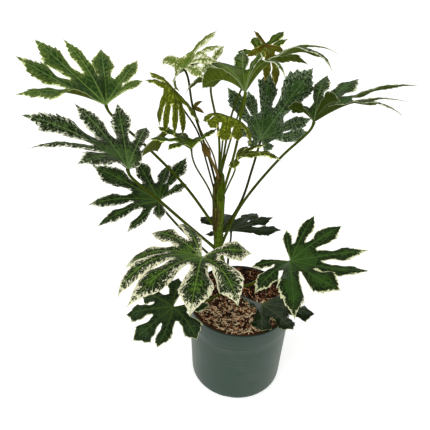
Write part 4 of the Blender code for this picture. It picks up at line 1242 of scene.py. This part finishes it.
class Blade:
    """The upper sheet of a blade, filled lobe by lobe, with what its paint needs at every point."""

    def __init__(self, spec, settings, look):
        self.spec, self.settings, self.look = spec, settings, look
        self.frame, self.start = leaf_frame(spec), np.array(spec["at"])
        self.cut, self.lobes = spec["cut"], spec["lobes"]
        # The lobes' mean length in millimetres, so that side veins are as far apart in all of them
        self.mean = float(np.mean([lobe[1] for lobe in self.lobes])) * MM
        self.rng = np.random.default_rng([settings.seed, *map(ord, spec["name"])])
        self.margins = [{side: toothed_margin(self.rng, lobe[1] * (1 - self.cut)) for side in SIDES}
                        for lobe in self.lobes]
        self.seed = self.rng.uniform(0, 500)
        self.points, self.faces, self.margin_lines, self.webs = [self.start], [], [], {}
        self.place, self.veins, self.flat = [(0, 0, 0)], [(0, 0, 0)], [(0, 0, 0)]
        numbers = range(len(self.lobes))
        # Midribs at the blade's rows, and evenly divided ones to measure a lobe's room from
        self.ribs = [self.rib(number) for number in numbers]
        self.even_ribs = [self.midrib(number, np.linspace(0, 1, 41))[0] for number in numbers]
        self.rib_index = [[self.add(rib[1][k], 0.0, rib[0][k], number, 0) for k in range(ROWS)]
                          for number, rib in enumerate(self.ribs)]
        for number in numbers:
            for side in SIDES:
                self.fill_half(number, side)

    def midrib(self, number, shares):
        return midrib(self.frame, self.start, self.lobes[number], shares)

    def rib(self, number):
        """The shares of a lobe's rows, and its midrib at each."""
        margin = self.margins[number]
        past = (margin[-1][0] + margin[1][0]) / 2
        past = past * (1 - 0.06 * (1 - past))
        inner = np.linspace(0, self.cut, INNER_ROWS + 1)[1:]
        shares = np.concatenate([inner, self.cut + past * (1 - self.cut)])
        return (shares, *self.midrib(number, shares))

    def add(self, where, gap, share, number, side):
        """One point of the sheet: where it is, its gap from the midrib, its share of the lobe."""
        turn = math.radians(self.lobes[number][0])
        run = share * self.lobes[number][1] * MM
        off = side * gap * MM
        self.points.append(where)
        self.place.append((gap * MM, 0, share))
        self.veins.append((share * self.mean - gap * MM / math.tan(VEIN_ANGLE),
                           gap * MM / math.sin(VEIN_ANGLE), 0))
        self.flat.append((run * math.cos(turn) - off * math.sin(turn),
                          run * math.sin(turn) + off * math.cos(turn), self.seed))
        return len(self.points) - 1

    def free_edge(self, number, side, hem, web, other):
        """The toothed edge past the cut, and how far along the lobe each place on it reaches."""
        lobe, rib, tooth_size = self.lobes[number], self.ribs[number][1], self.look.tooth
        past, stands = self.margins[number][side]
        shares = self.cut + past * (1 - self.cut)
        base, sideways, uppers, ahead = self.midrib(number, shares)
        width = half_width(past, lobe, web) * hem[1]
        if web is not None:
            away = np.linalg.norm(base[:, None] - self.even_ribs[number + side][None], axis=2)
            width = np.minimum(width, ROOM * away.min(axis=1))
        turns = past * self.rng.uniform(2.0, 3.2) + self.rng.random()
        wave = self.settings.wave * np.sin(2 * math.pi * turns)
        wave *= np.clip(width / 0.012, 0.2, 1.3)
        tooth = (tooth_size * (0.3 * (lobe[6] * lobe[1]) + 0.7 * width) * stands
                 * np.clip((1 - past) / 0.25, 0, 1))
        width = width * (1 - 0.45 * tooth_size * np.clip(past / 0.2, 0, 1))
        free, _ = towards_margin(side, sideways, uppers, lobe, shares, past, hem)
        if web is not None:
            # Past the cut the edge turns from the web's direction to its own
            bridge = (other[INNER_ROWS - 1] - rib[INNER_ROWS - 1]) / (2 * web)
            ease = eased(past / 0.18)[:, None]
            free = bridge * (1 - ease) + free * ease
        edge = (base + width[:, None] * free + tooth[:, None] * (free + TOOTH_LEAN * ahead)
                + wave[:, None] * uppers)
        edge[-1] = rib[-1]
        return edge, shares + TOOTH_LEAN * tooth / lobe[1]

    def fill_half(self, number, side):
        """Rows of points from a lobe's midrib to its edge, or to the next lobe up to the cut."""
        shares, rib, sideways, uppers, _ = self.ribs[number]
        lobe, cut = self.lobes[number], self.cut
        hem = HEMS.get((self.spec["name"], number, side), FLAT)
        joined = 0 <= number + side < len(self.lobes)
        other = self.ribs[number + side][1] if joined else None
        web = np.linalg.norm(rib[INNER_ROWS - 1] - other[INNER_ROWS - 1]) / 2 if joined else None
        edge, reach = self.free_edge(number, side, hem, web, other)
        way, above = towards_margin(side, sideways, uppers, lobe, shares,
                                    (shares - cut) / (1 - cut), hem)
        index = np.zeros((ROWS, len(ACROSS)), int)
        index[:, 0] = self.rib_index[number]
        index[-1, :] = self.rib_index[number][-1]
        for k in range(ROWS - 1):
            shared = joined and k < INNER_ROWS
            if k >= INNER_ROWS:
                outer, end = edge[k - INNER_ROWS], reach[k - INNER_ROWS]
                gap = np.linalg.norm(outer - rib[k])
            elif joined:
                outer, end = (rib[k] + other[k]) / 2, shares[k]
                gap = np.linalg.norm(rib[k] - other[k]) / 2
            else:
                gap = lobe[6] * lobe[1] * OPEN_SHARE * shares[k] / cut * hem[1]
                outer, end = rib[k] + gap * way[k], shares[k]
            # Up to the cut a row ends halfway to the next lobe, in a point that both lobes use
            key = (min(number, number + side), k) if shared else (number, side, k)
            if key not in self.webs:
                self.webs[key] = self.add(outer, gap, end, number, side)
            index[k, -1] = self.webs[key]
            webbed = 0.0
            if joined:
                webbed = float(np.clip(1 - (shares[k] - cut) / (WEB_REACH * (1 - cut)), 0, 1))
            for j in range(1, len(ACROSS) - 1):
                t = ACROSS[j]
                share = shares[k] + t * (end - shares[k])
                lift = self.lift(t, share, gap, webbed)
                where = rib[k] + t * (outer - rib[k]) + lift * above[k]
                index[k, j] = self.add(where, t * gap, share, number, side)
            if shared:
                peak = self.settings.crown * gap * WEB_CROWN * webbed
                self.points[index[k, -1]] = outer + peak * uppers[k]
        first_free = INNER_ROWS - 1 if joined else 0
        self.margin_lines.append(list(index[first_free:, -1]))
        self.add_strip(index, side)

    def lift(self, t, share, gap, webbed):
        """Rise of the sheet across half a lobe: its crown, less the dip at each side vein."""
        crown = (math.sin(math.pi * t) * (1 - webbed)
                 + math.sin(math.pi * t / 2) * webbed * WEB_CROWN)
        phase = ((share * self.mean - t * gap * MM / math.tan(VEIN_ANGLE))
                 / (self.settings.vein_spacing * MM))
        pucker = self.settings.pucker * math.sin(math.pi * t) * math.cos(2 * math.pi * phase)
        return self.settings.crown * gap * crown - pucker * min(1, gap / 0.008)

    def add_strip(self, index, side):
        """The faces of half a lobe: a fan at the blade's centre, quads, and a fan at the tip."""
        columns = range(len(ACROSS) - 1)
        strip = [(0, index[0, j], index[0, j + 1]) for j in columns]
        for k in range(ROWS - 2):
            strip += [(index[k, j], index[k + 1, j], index[k + 1, j + 1], index[k, j + 1])
                      for j in columns]
        strip += [(index[-2, j], index[-1, j], index[-2, j + 1]) for j in columns]
        self.faces += strip if side > 0 else [face[::-1] for face in strip]


def blade_mesh(spec, settings, look):
    """A lobed blade as a thin closed shell."""
    blade = Blade(spec, settings, look)
    points, place = np.array(blade.points), np.array(blade.place, dtype=float)
    place[:, 1] = margin_gaps(points, blade.margin_lines)
    marks = {"leaf_place": place, "leaf_veins": np.array(blade.veins),
             "leaf_flat": np.array(blade.flat)}
    return shell_of("leaf_" + spec["name"], points, blade.faces, settings, marks)


def margin_gaps(points, lines):
    """Distance in millimetres from each point to the nearest free margin."""
    spots = []
    for line in lines:
        corners = points[line]
        for a, b in zip(corners, corners[1:]):
            spots += [a, (2 * a + b) / 3, (a + 2 * b) / 3]
        spots.append(corners[-1])
    tree = KDTree(len(spots))
    for number, spot in enumerate(spots):
        tree.insert(spot, number)
    tree.balance()
    return np.array([tree.find(point)[2] for point in points]) * MM


def shell_of(name, points, faces, settings, marks):
    """Give a sheet its thickness and the keel under each midrib."""
    normals = np.zeros_like(points)
    for face in faces:
        a, b, c = (points[face[k]] for k in (0, 1, 2))
        square = np.cross(b - a, c - a)
        if len(face) == 4:
            square = square + np.cross(c - a, points[face[3]] - a)
        for corner in face:
            normals[corner] += square
    normals /= np.maximum(np.linalg.norm(normals, axis=1), 1e-12)[:, None]
    count = len(points)
    gap, _, share = marks["leaf_place"].T
    keel = settings.keel * np.clip(1 - share, 0, 1) * (gap < 1e-6)
    keel[0] = settings.keel * 0.6
    half = settings.thickness / 2
    both = np.concatenate([points + normals * half, points - normals * (half + keel)[:, None]])
    solid = [tuple(face) for face in faces]
    solid += [tuple(corner + count for corner in face[::-1]) for face in faces]
    edges = {(face[k], face[(k + 1) % len(face)]) for face in faces for k in range(len(face))}
    for a, b in sorted(edges):
        if (b, a) not in edges:
            solid.append((b, a, a + count, b + count))
    attributes = {label: np.tile(values, (2, 1)) for label, values in marks.items()}
    attributes["underside"] = np.repeat([0.0, 1.0], count)
    return mesh_of(name, both, solid, attributes, sharp=60)


def rings_along(path, radii, sides, ridges=0.0):
    """Points of rings square to a path, with lengthwise ridges."""
    tangents = np.gradient(path, axis=0)
    across = np.cross(tangents[0], (0.3, 1.0, 0.1))
    turns = 2 * np.pi * np.arange(sides) / sides
    shape = 1 + ridges * np.cos(turns * BUD_RIDGES)
    points = []
    for centre, tangent, radius in zip(path, tangents, radii):
        tangent = unit(tangent)
        across = unit(across - across.dot(tangent) * tangent)
        other = np.cross(tangent, across)
        points += list(centre + radius * (np.outer(np.cos(turns) * shape, across)
                                          + np.outer(np.sin(turns) * shape, other)))
    return points


def bud_mesh(name, height, radius, bends, buds):
    """A short shoot with folded buds, each a ridged spindle of overlapping scales."""
    sides, steps, rings = 20, 40, 34
    bends = [np.array(bend) for bend in bends]
    centre = stem_centre(height)
    away = unit(bends[0] - centre)
    path = smooth_path([centre + away * 0.3 * stem_radius(height), *bends], steps)
    points = rings_along(path, np.linspace(radius * 1.3, radius * 0.8, steps), sides)
    faces = tube_faces(steps, sides)
    shares = [0.0] * len(points)
    for direction, length, width in buds:
        direction = unit(np.array(direction))
        places = np.linspace(-0.06, 1.0, rings)
        bow = np.cross(direction, (0, 1, 0.2)) * length * 0.10
        spine = np.array([path[-1] + direction * length * p + bow * math.sin(math.pi * max(p, 0))
                          for p in places])
        shape = np.clip(np.sin(np.pi * np.clip((places + 0.06) / 1.06, 0, 1) ** 0.75), 0.03, 1)
        scales = 1 + 0.10 * (1 - (places * 3.2 % 1.0))
        faces += tube_faces(rings, sides, len(points))
        points += rings_along(spine, width * shape * scales, sides, ridges=0.09)
        shares += list(np.repeat(np.clip(places, 0, 1), sides))
    place = np.zeros((len(points), 3))
    place[:, 0] = shares
    return mesh_of(name, points, faces, {"bud_place": place}, sharp=70)


# Operators

class BuildPot(bpy.types.Operator):
    """Turn the nursery pot and cut its drain notches"""

    bl_idname = "potted_fatsia.pot"
    bl_label = "Build Pot"

    def execute(self, context):
        pot = context.scene.potted_fatsia.pot
        material = new_material("grey_green_plastic", plastic_paint, pot)
        add_piece("nursery_pot", shaded(pot_mesh(pot), 35), material, "pot_plastic", "pot")
        return {"FINISHED"}


class BuildCompost(bpy.types.Operator):
    """Heap the compost and scatter bark chips over it"""

    bl_idname = "potted_fatsia.compost"
    bl_label = "Build Compost"

    def execute(self, context):
        plant = context.scene.potted_fatsia
        settings = plant.compost
        heap = new_material("damp_compost", bark_paint, settings, False)
        mesh = compost_mesh(plant.pot, HEAP_CRUMBS)
        add_piece("compost_heap", mesh, heap, "bark_compost", "soil")
        bark = new_material("bark_chips", bark_paint, settings, True)
        top = scratch_object("compost_top", compost_mesh(plant.pot, BED_CRUMBS, BED_REACH))
        shapes = chip_shapes(settings)
        mesh = run_tree(chip_tree(), top, {
            "Shapes": shapes, "Chips per square metre": settings.density, "Seed": settings.seed,
            "Tilt": CHIP_TILT, "Lift": CHIP_LIFT, "Material": bark}, "bark_chips")
        for shape in list(shapes.objects):
            bpy.data.objects.remove(shape)
        bpy.data.collections.remove(shapes)
        add_piece("bark_chips", mesh, bark, "bark_compost", "soil")
        return {"FINISHED"}


class BuildStem(bpy.types.Operator):
    """Make the stem with its sheaths and ring scars"""

    bl_idname = "potted_fatsia.stem"
    bl_label = "Build Stem"

    def execute(self, context):
        settings = context.scene.potted_fatsia.stem
        material = new_material("sheathed_stem", stem_paint, settings)
        add_piece("stem_with_sheaths", stem_mesh(settings), material, "stem_sheath", "stem")
        return {"FINISHED"}


class BuildStalks(bpy.types.Operator):
    """Run a stalk from the stem to every blade"""

    bl_idname = "potted_fatsia.stalks"
    bl_label = "Build Stalks"

    def execute(self, context):
        settings = context.scene.potted_fatsia.stalks
        material = new_material("green_stalk", stalk_paint, settings)
        tree = stalk_tree()
        for spec in LEAVES:
            name = f"leaf_{spec['name']}_stalk"
            start = path_object("path_of_" + name, stalk_path(spec))
            mesh = run_tree(tree, start, {
                "Radius": spec["stalk"]["radius"], "Base Flare": settings.base_flare,
                "Top Flare": settings.top_flare, "Flare Length": FLARE_LENGTH,
                "Age": STALK_DARKNESS[spec["name"]], "Sides": STALK_SIDES, "Rings": STALK_RINGS,
                "Material": material}, name + "_fine")
            add_piece(name + "_fine", shaded(mesh, 60), material, "stalk_green", name)
        return {"FINISHED"}


class BuildBlades(bpy.types.Operator):
    """Make every lobed, toothed and variegated blade"""

    bl_idname = "potted_fatsia.blades"
    bl_label = "Build Blades"

    def execute(self, context):
        plant = context.scene.potted_fatsia
        materials = {}
        for spec in LEAVES:
            finish = spec["finish"]
            look = plant.finishes[finish]
            if finish not in materials:
                materials[finish] = new_material("blade_" + finish, leaf_paint, look,
                                                 plant.blades.vein_spacing)
            mesh = blade_mesh(spec, plant.blades, look)
            node = f"leaf_{spec['name']}_blade"
            add_piece(node + "_fine", mesh, materials[finish], spec["slot"], node)
        return {"FINISHED"}


class BuildBuds(bpy.types.Operator):
    """Make the short shoots with their folded buds"""

    bl_idname = "potted_fatsia.buds"
    bl_label = "Build Buds"

    def execute(self, context):
        for name, colours, *sizes in BUDS:
            material = new_material(name + "_skin", bud_paint, *colours)
            mesh = bud_mesh(name + "_fine", *sizes)
            add_piece(name + "_fine", mesh, material, "bud_brown", name)
        return {"FINISHED"}


# Soft lights: name, the setting of their power, size, place and what they point at
LAMPS = (
    ("soft_key", "key_power", 1.6, (-0.7, -0.9, 2.1), (0.0, 0.0, 0.35)),
    ("soft_fill", "fill_power", 1.4, (1.3, -1.4, 1.0), (0.0, 0.0, 0.30)),
    ("soft_back", "fill_power", 1.2, (0.3, 1.6, 1.7), (0.0, 0.0, 0.40)),
)


class BuildStage(bpy.types.Operator):
    """Lay the pale floor, hang the soft lights and set up the camera"""

    bl_idname = "potted_fatsia.stage"
    bl_label = "Build Stage"

    def execute(self, context):
        scene, settings = context.scene, context.scene.potted_fatsia.stage
        half = settings.floor_size / 2
        corners = [(-half, -half, 0), (half, -half, 0), (half, half, 0), (-half, half, 0)]
        floor = scratch_object("pale_floor", mesh_of("pale_floor", corners, [(0, 1, 2, 3)]))
        floor.data.materials.append(new_material("pale_paper", paper_paint, settings))
        world = bpy.data.worlds.new("soft_sky")
        world.use_nodes = True
        sky = world.node_tree.nodes["Background"]
        sky.inputs["Color"].default_value = (1.0, 1.0, 1.0, 1)
        sky.inputs["Strength"].default_value = settings.sky
        scene.world = world
        for name, power, *where in LAMPS:
            self.hang(name, getattr(settings, power), *where)
        scene.view_settings.view_transform = "Standard"
        self.aim_camera(scene, settings)
        return {"FINISHED"}

    @staticmethod
    def hang(name, power, size, place, target):
        lamp = bpy.data.lights.new(name, "AREA")
        lamp.energy = power
        lamp.size = size
        made = scratch_object(name, lamp)
        made.location = place
        made.rotation_euler = (Vector(target) - Vector(place)).to_track_quat("-Z", "Y").to_euler()

    @staticmethod
    def aim_camera(scene, settings):
        pitch, roll, yaw = np.radians((CAMERA_PITCH, CAMERA_ROLL, CAMERA_YAW))
        ahead = np.array([math.sin(yaw) * math.cos(pitch), math.cos(yaw) * math.cos(pitch),
                          -math.sin(pitch)])
        level = np.array([math.cos(yaw), -math.sin(yaw), 0.0])
        up = np.cross(level, ahead)
        right = level * math.cos(roll) + up * math.sin(roll)
        top = -level * math.sin(roll) + up * math.cos(roll)
        lens = bpy.data.cameras.new("camera")
        lens.sensor_fit = "HORIZONTAL"
        lens.sensor_width = SENSOR_WIDTH
        lens.lens = settings.focal
        lens.clip_start = 0.01
        camera = scratch_object("camera", lens)
        turn = Matrix((right, top, -ahead)).transposed().to_4x4()
        camera.matrix_world = Matrix.Translation(CAMERA_PLACE) @ turn
        scene.camera = camera


class FatsiaPanel(bpy.types.Panel):
    """Sizes, colours and a button for each part of the plant"""

    bl_idname = "VIEW3D_PT_potted_fatsia"
    bl_label = "Potted Fatsia"
    bl_space_type = "VIEW_3D"
    bl_region_type = "UI"
    bl_category = "Fatsia"

    def draw(self, context):
        plant = context.scene.potted_fatsia
        groups = ("pot", "compost", "stem", "stalks", "blades", None, "stage")
        for group, operator in zip(groups, OPERATORS):
            box = self.layout.box()
            if group:
                settings = getattr(plant, group)
                for name in settings.bl_rna.properties.keys():
                    if name not in ("rna_type", "name"):
                        box.prop(settings, name)
            box.operator(operator.bl_idname)
        for look in plant.finishes:
            box = self.layout.box()
            box.label(text=look.name)
            for name in ("heart", "rim", "edge", "under", "vein", "margin", "specks", "gloss"):
                box.prop(look, name)


OPERATORS = (BuildPot, BuildCompost, BuildStem, BuildStalks, BuildBlades, BuildBuds, BuildStage)
CLASSES = (PotSettings, CompostSettings, StemSettings, StalkSettings, BladeSettings, LeafFinish,
           StageSettings, PlantSettings, *OPERATORS, FatsiaPanel)


def fill_finishes(plant):
    plant.finishes.clear()
    for name, values in FINISHES.items():
        look = plant.finishes.add()
        look.name = name
        for key, value in zip(FINISH_VALUES, values):
            setattr(look, key, srgb(*value) if isinstance(value, tuple) else value)


def register():
    for kind in CLASSES:
        bpy.utils.register_class(kind)
    bpy.types.Scene.potted_fatsia = PointerProperty(type=PlantSettings)


def unregister():
    del bpy.types.Scene.potted_fatsia
    for kind in reversed(CLASSES):
        bpy.utils.unregister_class(kind)


def main():
    register()
    fill_finishes(bpy.context.scene.potted_fatsia)
    bpy.ops.potted_fatsia.pot()
    bpy.ops.potted_fatsia.compost()
    bpy.ops.potted_fatsia.stem()
    bpy.ops.potted_fatsia.stalks()
    bpy.ops.potted_fatsia.blades()
    bpy.ops.potted_fatsia.buds()
    bpy.ops.potted_fatsia.stage()


if __name__ == "__main__":
    main()
